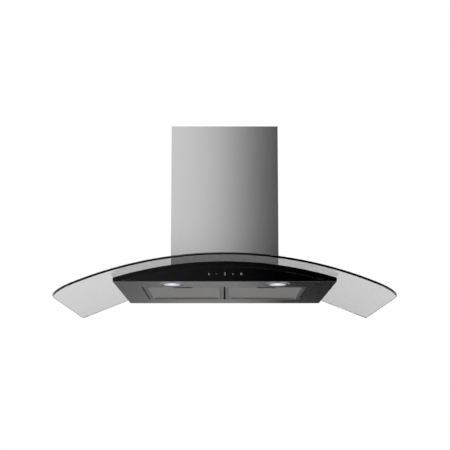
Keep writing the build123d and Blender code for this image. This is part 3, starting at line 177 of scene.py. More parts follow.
@dataclass(frozen=True)
class Finish:
    """A finish with a fine grain and a slow drift of its tone."""

    name: str  # The real material and how its surface was made.
    colour: str  # Its sRGB hex colour.
    roughness: float  # Mean roughness.
    metallic: float = 0.0  # One for a bare metal.
    ior: float = 1.5  # Index of refraction.
    grain: Grain = Grain.NONE  # Way that its lines run.
    grain_mm: float = 0.8  # Width of one line or speck.
    depth_mm: float = 0.004  # Height of the grain.
    drift_mm: float = 70.0  # Size of the patches of tone.
    drift: float = 0.06  # How far the tone moves, as a share.
    rough_drift: float = 0.04  # How far the roughness moves either way.
    grain_span: ClassVar[Flat] = (0.3, 0.7)  # Grain heights over which the roughness moves.
    tone_span: ClassVar[Flat] = (0.45, 1.05)  # Sums of patch and grain over which the tone moves.

    def make(self) -> Material:
        """Makes the material.

        Returns:
            The material, with its nodes.
        """
        material = blank_material(self.name)
        material.diffuse_color = linear(self.colour)
        tree = material.node_tree
        place = add_node(tree, "ShaderNodeTexCoord").outputs["Object"]
        looks = {"Base Color": linear(self.colour), "Metallic": self.metallic, "Roughness": self.roughness}
        shader = add_node(tree, "ShaderNodeBsdfPrincipled", looks)
        if self.metallic < 1:
            shader.inputs["IOR"].default_value = self.ior
        add_node(tree, "ShaderNodeOutputMaterial", links={"Surface": shader})
        self.dress(Coat(tree, shader, place))
        return material

    def pattern(self, coat: Coat) -> Source:
        """Draws the fine grain.

        Args:
            coat: The finish in the making.

        Returns:
            Height of the grain, from 0 to 1.
        """
        scale = [1000 / self.grain_mm / stretch for stretch in self.grain.value]
        laid = add_node(coat.tree, "ShaderNodeMapping", {"Scale": scale}, {"Vector": coat.place})
        return add_node(coat.tree, "ShaderNodeTexNoise", {"Scale": 1.0, "Detail": 2.0}, {"Vector": laid})

    def tone(self, coat: Coat, grain: Source) -> Source:
        """Mixes the colour from patches of drifted tone.

        Args:
            coat: The finish in the making.
            grain: Height of the grain.

        Returns:
            The colour.
        """
        add = partial(add_node, coat.tree)
        patches = {"Scale": 1000 / self.drift_mm, "Detail": 3.0}
        cloud = add("ShaderNodeTexNoise", patches, {"Vector": coat.place})
        both = add("ShaderNodeMath", {0: 0.5}, {1: cloud, 2: grain}, operation="MULTIPLY_ADD")
        low, high = self.tone_span
        spread = add("ShaderNodeMapRange", {"From Min": low, "From Max": high}, {"Value": both})
        full = linear(self.colour)
        dull = tuple(part * (1 - self.drift) for part in full[:3]) + (1.0,)
        return add("ShaderNodeMix", {6: dull, 7: full}, {0: spread}, data_type="RGBA").outputs[2]

    def dress(self, coat: Coat) -> None:
        """Joins the grain and the tone to the shader.

        Args:
            coat: The finish in the making.
        """
        grain = self.pattern(coat)
        spans = {
            "From Min": self.grain_span[0],
            "From Max": self.grain_span[1],
            "To Min": max(self.roughness - self.rough_drift, 0.0),
            "To Max": self.roughness + self.rough_drift,
        }
        rough = add_node(coat.tree, "ShaderNodeMapRange", spans, {"Value": grain})
        relief = {"Strength": 1.0, "Distance": self.depth_mm / 1000}
        bump = add_node(coat.tree, "ShaderNodeBump", relief, {"Height": grain})
        join(coat.shader, {"Base Color": self.tone(coat, grain), "Roughness": rough, "Normal": bump})


@dataclass(frozen=True)
class Spangle(Finish):
    """Hot-dipped zinc: flat crystals, each of its own brightness."""

    def pattern(self, coat: Coat) -> Source:
        """Draws the crystals, each with its own height."""
        size = {"Scale": 1000 / self.grain_mm, "Randomness": 1.0}
        cells = add_node(coat.tree, "ShaderNodeTexVoronoi", size, {"Vector": coat.place})
        return add_node(coat.tree, "ShaderNodeSeparateColor", links={0: cells.outputs["Color"]})


@dataclass(frozen=True)
class Laminated(Finish):
    """Punched steel sheets, stacked along x."""

    # Radians that the wave texture turns through along one unit, at a scale of one.
    wave: ClassVar[float] = 20.0

    def pattern(self, coat: Coat) -> Source:
        """Draws the edges of the stacked sheets."""
        size = {"Scale": 1000 / self.grain_mm / self.wave, "Distortion": 0.2}
        return add_node(coat.tree, "ShaderNodeTexWave", size, {"Vector": coat.place}).outputs[1]


@dataclass(frozen=True)
class Tracked(Finish):
    """Lacquered board with copper tracks round cells of half by a quarter of drift_mm."""

    track: str = "2F7A46"  # sRGB hex colour of the tracks.
    track_half: float = 0.06  # Half the width of a track, as a share of drift_mm.

    def tone(self, coat: Coat, grain: Source) -> Source:
        """Colours the tracks lighter than the board between them.

        Args:
            coat: The finish in the making.
            grain: Height of the grain, which the board's colour doesn't follow.

        Returns:
            The colour.
        """
        upright = {"Rotation": (math.pi / 2, 0.0, 0.0)}
        turned = add_node(coat.tree, "ShaderNodeMapping", upright, {"Vector": coat.place})
        board = linear(self.colour)
        looks = {"Color1": board, "Color2": board, "Mortar": linear(self.track)}
        sizes = {"Scale": 1000 / self.drift_mm, "Mortar Size": self.track_half}
        return add_node(coat.tree, "ShaderNodeTexBrick", looks | sizes, {"Vector": turned})


@dataclass(frozen=True)
class ClearGlass(Finish):
    """Clear glass that light passes through, with faint marks of handling in its polish."""

    smear_span: ClassVar[Flat] = (0.5, 0.9)  # Grain heights over which the marks show.

    def dress(self, coat: Coat) -> None:
        """Makes the glass clear.

        Args:
            coat: The finish in the making.
        """
        coat.shader.inputs["Transmission Weight"].default_value = 1.0
        smear = self.pattern(coat)
        low, high = self.smear_span
        spans = {"From Min": low, "From Max": high, "To Min": 0.0, "To Max": self.roughness}
        rough = add_node(coat.tree, "ShaderNodeMapRange", spans, {"Value": smear})
        join(coat.shader, {"Roughness": rough, "Base Color": self.tone(coat, smear)})


@dataclass(frozen=True)
class LitLens(Finish):
    """Frosted glass with a lit lamp right behind it."""

    glow: str = "DDE2F5"  # sRGB hex colour of the light.
    strength: float = 1.0  # Its strength where it is brightest.
    middle: Flat = (0.143, -0.375)  # Brightest place of each lens, as its distance to the side and its y.
    reach: float = 0.018  # Radius over which the light falls off.
    rim: float = 0.22  # Share of the light left at that radius.

    def dress(self, coat: Coat) -> None:
        """Lights the lens.

        Args:
            coat: The finish in the making.
        """
        super().dress(coat)
        add = partial(add_node, coat.tree)
        parts = add("ShaderNodeSeparateXYZ", links={0: coat.place}).outputs
        side = add("ShaderNodeMath", links={0: parts[0]}, operation="ABSOLUTE")
        flat = add("ShaderNodeCombineXYZ", links={0: side, 1: parts[1]})
        away = add("ShaderNodeVectorMath", {1: (*self.middle, 0.0)}, {0: flat}, operation="DISTANCE")
        spans = {"From Max": self.reach, "To Min": self.strength, "To Max": self.rim * self.strength}
        reach = {"Value": away.outputs["Value"]}
        fall = add("ShaderNodeMapRange", spans, reach, interpolation_type="SMOOTHSTEP")
        coat.shader.inputs["Emission Color"].default_value = linear(self.glow)
        join(coat.shader, {"Emission Strength": fall})


@dataclass(frozen=True)
class Printed(Finish):
    """Pale ink printed behind the glass, lit from the board."""

    glow: float = 0.5  # Strength of its light.

    def dress(self, coat: Coat) -> None:
        """Lets the ink glow a little.

        Args:
            coat: The finish in the making.
        """
        super().dress(coat)
        coat.shader.inputs["Emission Color"].default_value = linear(self.colour)
        coat.shader.inputs["Emission Strength"].default_value = self.glow


# Each finish is named for the real material and how its surface was made.
FINISHES: dict[str, Finish] = {
    # Bent and polished float glass: clear, faintly grey, mirror smooth.
    "clear_glass": ClearGlass("float_glass_bent_clear", "EFF0EF", 0.004, grain_mm=40.0, drift=0.01),
    # Opal pressed glass over a lit lamp: a soft white glow.
    "frosted_glass": LitLens("pressed_glass_frosted_lit", "E8EAEE", 0.45, grain_mm=0.6),
    # Float glass with black enamel fired on its back: a deep even black under a hard gloss.
    "black_glass": Finish(
        "float_glass_black_enamelled", "040405", 0.03, ior=1.52, grain_mm=30.0, depth_mm=0.0
    ),
    # Stainless sheet brushed along the cover's height: soft upright streaks. Its 0.05 mm lines are drawn
    # 0.8 mm wide to show.
    "brushed_steel": Finish(
        "stainless_steel_brushed_upright",
        "C6C6C7",
        0.17,
        1.0,
        grain=Grain.UPRIGHT,
        depth_mm=0.0006,
        drift=0.03,
        rough_drift=0.02,
    ),
    # Stainless steel turned and satin polished: a soft grey gleam.
    "bright_steel": Finish("stainless_steel_satin_turned", "A0A1A4", 0.3, 1.0, depth_mm=0.001),
    # Hot-dipped sheet: flat crystals about 9 mm across, some pale and some dull.
    "galvanised_steel": Spangle(
        "steel_sheet_hot_dip_galvanised", "B4B8BA", 0.42, 1.0, grain_mm=9.0, drift=0.25, depth_mm=0.001
    ),
    # Zinc-plated screws, slightly blue.
    "screw_steel": Finish("screw_steel_zinc_plated", "B9BDC4", 0.28, 1.0, grain_mm=0.5),
    # Drawn spring wire, dark from its oil.
    "spring_steel": Finish("spring_steel_drawn_oiled", "8E8F93", 0.3, 1.0, grain_mm=0.3),
    # Moulded nitrile rubber: dull, near black.
    "black_rubber": Finish("rubber_moulded_black", "1B1B1C", 0.75, ior=1.52, grain_mm=0.6, depth_mm=0.02),
    # Closed-cell foam tape with open pores on its cut edge: dead matt and speckled.
    "foam_tape": Finish("foam_tape_closed_cell", "2A2B2C", 0.9, ior=1.48, grain_mm=0.7, depth_mm=0.08),
    # Polypropylene moulded in a spark-eroded tool: satin, with an even fine grain.
    "black_plastic": Finish(
        "polypropylene_moulded_black", "202124", 0.48, ior=1.49, grain_mm=0.5, depth_mm=0.01
    ),
    # ABS moulded in a fine grained tool: satin grey.
    "grey_plastic": Finish("abs_moulded_grey", "55585C", 0.45, ior=1.54, grain_mm=0.5, depth_mm=0.01),
    # ABS moulded smooth in off-white: a soft even gloss.
    "white_plastic": Finish("abs_moulded_white", "E4E3DE", 0.4, ior=1.54, grain_mm=0.5, depth_mm=0.006),
    # Glass-epoxy board under green lacquer: dark, with paler tracks in rows 1.25 mm apart.
    "circuit_board": Tracked("glass_epoxy_lacquered", "14502C", 0.35, ior=1.55, drift_mm=5.0),
    # PVC sheath extruded round the lead: smooth, slightly waxy.
    "lead_sheath": Finish("pvc_extruded_grey", "6B6D70", 0.42, ior=1.53, grain_mm=1.5, depth_mm=0.005),
    # Aluminium sheet, roll formed and left bare: pale, with soft lines from side to side.
    "aluminium": Finish("aluminium_sheet_rolled", "B0B2B5", 0.34, 1.0, grain=Grain.ACROSS, grain_mm=0.6),
    # Aluminium foil slit and stretched, slightly dulled.
    "aluminium_mesh": Finish("aluminium_expanded", "B3B2B1", 0.32, 1.0, grain_mm=2.0, depth_mm=0.01),
    # Steel case dipped in black paint: half gloss, slightly uneven.
    "motor_paint": Finish("steel_dipped_black", "2B2C2E", 0.4, grain_mm=1.5, depth_mm=0.01),
    # Core of punched electrical steel: dull stripes. Its 0.5 mm sheets are drawn about 6 mm apart to show.
    "motor_iron": Laminated(
        "electrical_steel_laminated", "77777A", 0.45, 1.0, grain_mm=1.0, depth_mm=0.05
    ),
    # Shaft and races, ground and polished: bright, nearly a mirror.
    "ground_steel": Finish("steel_ground", "C2C3C6", 0.18, 1.0, grain_mm=0.4, depth_mm=0.0005),
}
# Polished edge of the float glass, seen along half a metre of glass, so nearly black. Its low index
# leaves only a weak gleam, as most of the light that meets a polished edge goes in.
EDGE = Finish("float_glass_edge_polished", "08090A", 0.2, ior=1.2, grain_mm=3.0, depth_mm=0.0)
# Pale ceramic ink of the touch marks, lit from behind.
INK = Printed("ceramic_ink_pale", "8C8F94", 0.5)


@dataclass
class Paints:
    """The finished materials, one for each slot of the record."""

    def __post_init__(self) -> None:
        """Makes every material once."""
        self.made = {slot: finish.make() for slot, finish in FINISHES.items()}
        self.edge = EDGE.make()
        self.ink = INK.make()

    def coat_frame(self) -> None:
        """Gives each CAD node that stays in view its finish."""
        for node in frame["nodes"].values():
            if node.hide_render:
                continue
            for place in node.material_slots:
                place.material = self.made[place.material.name.split(".")[0]]


def body_of(node: str) -> str:
    """Finds the name of the body that a CAD node rides on."""
    return frame["nodes"][node].parent.name.removeprefix("body:")


def put_in_scene(name: str, data: bpy.types.ID) -> bpy.types.Object:
    """Makes an object and links it to the scene.

    Args:
        name: Its name.
        data: Its mesh, light or camera.

    Returns:
        The object.
    """
    thing = bpy.data.objects.new(name, data)
    bpy.context.scene.collection.objects.link(thing)
    return thing


@dataclass
class Assembly:
    """A sub-assembly of the hood."""

    paints: Paints  # The finished materials.

    def place(
        self, name: str, mesh: Mesh, slot: str, body: str, *stands_for: str, own: tuple[Material, ...] = ()
    ) -> bpy.types.Object:
        """Puts a finished mesh in the scene and ties it to the frame.

        Args:
            name: The piece's name.
            mesh: Its mesh, in place.
            slot: The record's slot for its finish.
            body: The body it rides on.
            stands_for: CAD nodes that it replaces.
            own: Its own materials by the faces' numbers, where they aren't just the slot's.

        Returns:
            The new object.
        """
        mesh.materials.clear()
        for material in own or (self.paints.made[slot],):
            mesh.materials.append(material)
        piece = put_in_scene(name, mesh)
        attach(piece, body)
        if stands_for:
            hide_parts(*stands_for)
        log.info("%s: %d faces", name, len(mesh.polygons))
        return piece


def plain_mesh(name: str, shape: Shape) -> Mesh:
    """Turns a finished shape into a mesh and frees the shape.

    Args:
        name: The mesh's name.
        shape: The shape.

    Returns:
        The mesh.
    """
    mesh = bpy.data.meshes.new(name)
    shape.to_mesh(mesh)
    shape.free()
    return mesh


def smooth_by_angle(shape: Shape, limit: float = 35.0, flat_area: float = 2e-4) -> None:
    """Shades a mesh smooth, keeps its corners crisp and its broad faces flat.

    Args:
        shape: The mesh.
        limit: Corners turn by more than this many degrees.
        flat_area: Faces larger than this many square metres are flat.
    """
    for face in shape.faces:
        face.smooth = face.calc_area() < flat_area
    for edge in shape.edges:
        edge.smooth = len(edge.link_faces) == 2 and edge.calc_face_angle(0.0) < math.radians(limit)


def join_rings(shape: Shape, first: Loop, second: Loop) -> None:
    """Joins two closed rings of equal length by a strip of faces.

    Args:
        shape: The mesh that has them.
        first: One ring.
        second: The other.
    """
    for index in range(len(first)):
        following = (index + 1) % len(first)
        shape.faces.new((first[index], first[following], second[following], second[index]))


def corner(centre: Flat, radius: float, start: float, count: int = 8) -> list[Flat]:
    """Points on a quarter turn, anticlockwise from an angle in degrees, in a number of steps."""
    turns = [math.radians(start + 90 * step / count) for step in range(count + 1)]
    return [(centre[0] + radius * math.cos(turn), centre[1] + radius * math.sin(turn)) for turn in turns]


@dataclass
class Canopy(Assembly):
    """The bent glass."""

    bend: float = 1.027  # Radius of the top surface.
    width: float = 0.9  # Across the top of its side edges.
    depth: float = 0.5  # From the wall to its front.
    thickness: float = 0.006  # Of the glass.
    corner_radius: float = 0.06  # Of its two front corners.
    edge: float = 0.0006  # Rounding of the rims.
    notch_half: float = 0.141  # Half the width of the notch at the back.
    notch_depth: float = 0.266  # From the wall to the notch's end.
    notch_corner: float = 0.012  # Radius of the notch's corners.
    hole_radius: float = 0.006  # Of the four fixing holes.
    hole_x: float = 0.215  # Their places to either side.
    hole_ys: Flat = (-0.06, -0.34)  # And from the wall.
    hole_points: int = 24  # How many points a hole has.
    step: float = 0.012  # Distance between points along an edge.
    strips: int = 16  # Strips between the rows of points inside, from the wall to the front.
    clear: float = 0.006  # Least distance from a rim to the points of those rows.
    front_slope: float = -0.3  # Rim faces whose normal's y is below this show as the polished edge.
    # Number by which the triangulation fills the outline and leaves the holes.
    holes_open: ClassVar[int] = 2
    weld: ClassVar[float] = 1e-7  # Points nearer than this are one.

    def __post_init__(self) -> None:
        """Finds the level of the bend's axis and half the glass's width along the bend."""
        self.axis_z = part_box("canopy_glass")[1].z - self.bend
        self.half_arc = self.bend * math.asin(self.width / 2 / self.bend)

    def steps(self, start: float, end: float) -> list[float]:
        """Values between two ends, a step apart, without the ends."""
        count = max(1, round(abs(end - start) / self.step))
        return [start + (end - start) * index / count for index in range(1, count)]

    def on_sheet(self, along: float, y: float, radius: float) -> Point:
        """Bends a flat point round the axis."""
        angle = along / self.bend
        return (radius * math.sin(angle), y, self.axis_z + radius * math.cos(angle))

    def outline(self, inset: float, radius: float) -> list[Flat]:
        """Outline of the flat glass, anticlockwise from above, starting at the back on the left.

        Args:
            inset: How far inside the glass's edge.
            radius: Of the surface that the outline lies on.

        Returns:
            Points as arc length and y.
        """
        half, back, front = self.half_arc - inset, -inset, -self.depth + inset
        side, front_y = self.half_arc - self.corner_radius, -self.depth + self.corner_radius
        left = [(-half, back)]
        left += [(-half, y) for y in self.steps(back, front_y)]
        left += corner((-side, front_y), self.corner_radius - inset, 180)
        left += [(s, front) for s in self.steps(-side, 0)]
        edge_x, end_y = self.notch_half + inset, -self.notch_depth - inset
        turn_x, turn_y = self.notch_half - self.notch_corner, -self.notch_depth + self.notch_corner
        rim = [(edge_x, back)]
        rim += [(edge_x, y) for y in self.steps(back, turn_y)]
        rim += reversed(corner((turn_x, turn_y), self.notch_corner + inset, 270))
        rim += [(x, end_y) for x in self.steps(turn_x, 0)]
        # The notch is cut straight down, so its x is turned into an arc length on this surface.
        notch = [(self.bend * math.asin(x / radius), y) for x, y in rim]
        middle = (notch[0][0] + half) / 2
        right, notch_left = ([(-s, y) for s, y in reversed(part)] for part in (left, notch))
        rear = [(middle, back), *notch, (0.0, end_y), *notch_left, (-middle, back)]
        return [*left, (0.0, front), *right, *rear]

    def holes(self, grow: float) -> list[list[Flat]]:
        """Outlines of the four fixing holes, clockwise, as arc length and y.

        Args:
            grow: How far outside the holes' walls.

        Returns:
            One list of points for each hole.
        """
        middle = self.bend * math.asin(self.hole_x / self.bend)
        reach = self.hole_radius + grow
        turns = [-2 * math.pi * step / self.hole_points for step in range(self.hole_points)]
        ring = [(reach * math.cos(turn), reach * math.sin(turn)) for turn in turns]
        return [[(side * middle + s, y + out) for s, out in ring] for side in HANDS for y in self.hole_ys]

    def glass(self) -> None:
        """Builds the glass: two bent faces, filled between the outline and the holes, and rounded rims."""
        lean = self.edge * (1 - math.sqrt(0.5))
        top, low = self.bend, self.bend - self.thickness
        profile = [
            (self.edge, top),
            (lean, top - lean),
            (0.0, top - self.edge),
            (0.0, low + self.edge),
            (lean, low + lean),
            (self.edge, low),
        ]
        shape = bmesh.new()
        rims: list[list[Loop]] = []
        for inset, radius in profile:
            loops = [self.outline(inset, radius)] + self.holes(inset)
            rims.append([[shape.verts.new(self.on_sheet(s, y, radius)) for s, y in loop] for loop in loops])
        for upper, lower in zip(rims, rims[1:]):
            for over, under in zip(upper, lower):
                join_rings(shape, over, under)
        for end in (0, -1):
            self.broad_face(shape, *profile[end], rims[end])
        bmesh.ops.recalc_face_normals(shape, faces=shape.faces)
        for face in shape.faces:
            face.smooth = True
            face.material_index = int(len(face.verts) == 4 and face.normal.y < self.front_slope)
        for edge in shape.edges:
            edge.smooth = len({len(face.verts) for face in edge.link_faces}) == 1
        mesh = plain_mesh("bent_glass", shape)
        mesh.normals_split_custom_set(self.shading(mesh))
        own = (self.paints.made["clear_glass"], self.paints.edge)
        self.place("bent_glass", mesh, "clear_glass", "hood", "canopy_glass", own=own)

    def shading(self, mesh: Mesh) -> list[Point]:
        """Finds exact normals for the bent faces, so that the light bends through them evenly.

        Args:
            mesh: The glass.

        Returns:
            One normal for each corner of each face, or zeros where the mesh's own is kept.
        """
        normals = []
        for face in mesh.polygons:
            if len(face.vertices) > 3:
                normals += [(0.0, 0.0, 0.0)] * len(face.vertices)
                continue
            way = 1.0 if face.normal.z > 0 else -1.0
            for index in face.vertices:
                x, _, z = mesh.vertices[index].co
                reach = math.hypot(x, z - self.axis_z)
                normals.append((way * x / reach, 0.0, way * (z - self.axis_z) / reach))
        return normals

    def broad_face(self, shape: Shape, inset: float, radius: float, loops: list[Loop]) -> None:
        """Fills one bent face between its rims.

        Args:
            shape: The mesh it goes into.
            inset: Of the rims that bound it.
            radius: Of the face.
            loops: Points of those rims that the mesh already has.
        """
        rims: list[Flat] = []
        ties: list[tuple[int, int]] = []
        for loop in [self.outline(inset, radius)] + self.holes(inset):
            first, count = len(rims), len(loop)
            rims += loop
            ties += [(first + index, first + (index + 1) % count) for index in range(count)]
        flat = list(rims)
        lines = [-self.depth * index / self.strips for index in range(1, self.strips)]
        for s in self.steps(-self.half_arc, self.half_arc):
            for y in lines:
                if min((s - a) ** 2 + (y - b) ** 2 for a, b in rims) > self.clear**2:
                    flat.append((s, y))
        points = [Vector(point) for point in flat]
        filled = delaunay_2d_cdt(points, ties, [], self.holes_open, self.weld, True)
        known = [vert for loop in loops for vert in loop]
        placed = []
        for (s, y), origin in zip(filled[0], filled[3]):
            old = [index for index in origin if index < len(known)]
            placed.append(known[old[0]] if old else shape.verts.new(self.on_sheet(s, y, radius)))
        for face in filled[2]:
            shape.faces.new([placed[index] for index in face])


@dataclass
class FrontPanel(Assembly):
    """Black glass fascia and its touch marks."""

    half: float = 0.298  # Half its width.
    top_radius: float = 1.0207  # Of its upper edge.
    top_steps: int = 60  # Steps along that edge.
    corner_radius: float = 0.005  # Of its lower corners.
    bevel: float = 0.0005  # Polished bevel round the front.
    mark_z: float = 0.02  # Height of the marks above the lower edge.
    mark_t: float = 0.00005  # How far the marks stand on the glass.
    # Straight strokes of the marks: x, height above the marks' middle, width and height.
    bars: tuple[tuple[float, float, float, float], ...] = (
        # Upright bar with a foot.
        (-0.0425, 0.0, 0.0011, 0.0055),
        (-0.0408, -0.0022, 0.0023, 0.0011),
        # Minus.
        (-0.022, 0.0, 0.005, 0.0005),
        # Plus.
        (0.022, 0.0, 0.005, 0.0005),
        (0.022, 0.0, 0.0005, 0.005),
        # Stroke in the ring's gap.
        (0.044, 0.0014, 0.0009, 0.0034),
        # The digit 3.
        (0.0, 0.0034, 0.003, 0.0011),
        (0.0, 0.0, 0.003, 0.0011),
        (0.0, -0.0034, 0.003, 0.0011),
        (0.0018, 0.0017, 0.0011, 0.0027),
        (0.0018, -0.0017, 0.0011, 0.0027),
    )
    ring_x: float = 0.044  # Middle of the ring round the last mark.
    ring_radii: Flat = (0.0021, 0.003)  # Inner and outer radius of the ring.
    ring_sweep: Flat = (120.0, 300.0)  # Where the open ring starts and how far it goes round, in degrees.
    ring_steps: int = 30  # Steps round the ring.

    def outline(self, inset: float, y: float) -> list[Point]:
        """Outline of the panel at one depth, anticlockwise seen from the front.

        Args:
            inset: How far inside the panel's edge.
            y: Its depth.

        Returns:
            The points.
        """
        low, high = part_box("front_panel")
        axis_z = high.z - self.top_radius
        half = self.half - inset
        turn_x, turn_z = self.half - self.corner_radius, low.z + self.corner_radius
        radius = self.corner_radius - inset
        tops = [half - 2 * half * index / self.top_steps for index in range(self.top_steps + 1)]
        flat = corner((turn_x, turn_z), radius, 270)
        flat += [(x, axis_z + math.sqrt((self.top_radius - inset) ** 2 - x**2)) for x in tops]
        flat += corner((-turn_x, turn_z), radius, 180)
        return [(x, y, z) for x, z in flat]

    def fascia(self) -> None:
        """Builds the fascia with its polished bevel."""
        low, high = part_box("front_panel")
        shape = bmesh.new()
        levels = ((0.0, high.y), (0.0, low.y + self.bevel), (self.bevel, low.y))
        rows = [[shape.verts.new(point) for point in self.outline(inset, y)] for inset, y in levels]
        for back, front in zip(rows, rows[1:]):
            join_rings(shape, back, front)
        shape.faces.new(list(reversed(rows[0])))
        shape.faces.new(rows[-1])
        bmesh.ops.recalc_face_normals(shape, faces=shape.faces)
        smooth_by_angle(shape, limit=20.0)
        self.place("fascia", plain_mesh("fascia", shape), "black_glass", "hood", "front_panel")

    def marks(self) -> None:
        """Builds the row of touch marks and the display's digit."""
        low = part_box("front_panel")[0]
        z = low.z + self.mark_z
        back, front = low.y, low.y - self.mark_t
        shape = bmesh.new()
        for x, above, wide, tall in self.bars:
            for vert in bmesh.ops.create_cube(shape, size=1.0)["verts"]:
                side, out, rise = vert.co
                vert.co = (x + side * wide, front if out < 0 else back, z + above + rise * tall)
        start, sweep = self.ring_sweep
        steps = range(self.ring_steps + 1)
        turns = [math.radians(start + sweep * step / self.ring_steps) for step in steps]
        inner, outer = self.ring_radii
        sides = ((0, 1, 2, 3), (4, 7, 6, 5), (0, 4, 5, 1), (1, 5, 6, 2), (2, 6, 7, 3), (3, 7, 4, 0))
        for first, second in zip(turns, turns[1:]):
            loop = []
            for y in (front, back):
                for turn, reach in ((first, inner), (second, inner), (second, outer), (first, outer)):
                    spot = (self.ring_x + reach * math.cos(turn), y, z + reach * math.sin(turn))
                    loop.append(shape.verts.new(spot))
            for side in sides:
                shape.faces.new([loop[index] for index in side])
        bmesh.ops.recalc_face_normals(shape, faces=shape.faces)
        mesh = plain_mesh("touch_marks", shape)
        self.place("touch_marks", mesh, "white_plastic", "hood", own=(self.paints.ink,))


@dataclass
class Steelwork(Assembly):
    """The sheet-metal body, the two chimney covers and the filters' rims."""

    fold: float = 0.0004  # Rounding of the folded edges.
    cut: float = 0.0003  # Rounding of the deburred edges of thin sheet.
    sharp: float = 50.0  # Edges that turn by more than this many degrees are rounded.
    even: float = 0.5  # Faces that turn by less than this many degrees are one.
    weld: float = 2e-6  # Points nearer than this are one.

    def softened_copy(self, node: str, width: float) -> Mesh:
        """Copies a CAD node's mesh and rounds its sharp edges.

        Args:
            node: The node's name.
            width: Width of the rounding.

        Returns:
            The new mesh.
        """
        shape = bmesh.new()
        shape.from_mesh(frame["nodes"][node].data)
        bmesh.ops.remove_doubles(shape, verts=shape.verts, dist=self.weld)
        even, limit = math.radians(self.even), math.radians(self.sharp)
        bmesh.ops.dissolve_limit(shape, angle_limit=even, verts=shape.verts, edges=shape.edges)
        sharp = [edge for edge in shape.edges if edge.calc_face_angle(0.0) > limit]
        bmesh.ops.bevel(
            shape, geom=sharp, offset=width, segments=2, profile=0.5, affect="EDGES", clamp_overlap=True
        )
        smooth_by_angle(shape)
        return plain_mesh(node + "_softened", shape)

    def covers(self) -> None:
        """Builds the sheets with softened edges."""
        for node, name, width, slot in (
            ("body_shell", "hood_body", self.cut, "brushed_steel"),
            ("chimney_cover", "chimney_sleeve", self.fold, "brushed_steel"),
            ("chimney_inner", "chimney_slide", self.cut, "brushed_steel"),
            ("filter_frame_left", "filter_rim_left", self.cut, "aluminium"),
            ("filter_frame_right", "filter_rim_right", self.cut, "aluminium"),
        ):
            self.place(name, self.softened_copy(node, width), slot, body_of(node), node)


@dataclass
class LatchSprings(Assembly):
    """Coil springs behind the filters' latches, which press together as a latch is pulled back; here they
    stand as the frame has them.
    """

    travel: float = 0.006  # How far the latch slides.

    def fit(self) -> None:
        """Builds both filters' springs, each a copy of its CAD node with its own mesh."""
        for side in SIDES:
            node = f"latch_springs_{side}"
            mesh = frame["nodes"][node].data.copy()
            coils = self.place(f"coil_springs_{side}", mesh, "spring_steel", body_of(node), node)
            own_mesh(coils)


def begin_tree(name: str, inputs: dict[str, str]) -> tuple[Tree, bpy.types.NodeOutputs]:
    """Starts a geometry tree.

    Args:
        name: Its name.
        inputs: Its inputs, each with the kind of its socket.

    Returns:
        The tree and the sockets that give its inputs.
    """
    tree = bpy.data.node_groups.new(name, "GeometryNodeTree")
    for label, kind in inputs.items():
        tree.interface.new_socket(label, in_out="INPUT", socket_type="NodeSocket" + kind)
    tree.interface.new_socket("Geometry", in_out="OUTPUT", socket_type="NodeSocketGeometry")
    return tree, add_node(tree, "NodeGroupInput").outputs


def end_tree(tree: Tree, shape: Node, metal: Socket) -> None:
    """Ends a geometry tree with real and painted faces.

    Args:
        tree: The tree.
        shape: Node that gives its shape.
        metal: Its material.
    """
    real = add_node(tree, "GeometryNodeRealizeInstances", links={0: shape})
    painted = add_node(tree, "GeometryNodeSetMaterial", links={"Geometry": real, "Material": metal})
    add_node(tree, "NodeGroupOutput", links={0: painted})


def grown(name: str, seed: Mesh, tree: Tree, sizes: dict[str, object]) -> Mesh:
    """Runs a geometry tree and keeps its result as a plain mesh.

    Args:
        name: Name of the new mesh.
        seed: The mesh that the tree starts from.
        tree: The tree.
        sizes: Values of its named inputs.

    Returns:
        The plain mesh.
    """
    holder = put_in_scene(name, seed)
    modifier = holder.modifiers.new(tree.name, "NODES")
    modifier.node_group = tree
    for item in tree.interface.items_tree:
        if item.item_type == "SOCKET" and item.in_out == "INPUT" and item.name in sizes:
            modifier[item.identifier] = sizes[item.name]
    ready = holder.evaluated_get(bpy.context.evaluated_depsgraph_get())
    mesh = bpy.data.meshes.new_from_object(ready)
    holder.modifiers.remove(modifier)
    bpy.data.objects.remove(holder)
    mesh.name = name
    return mesh


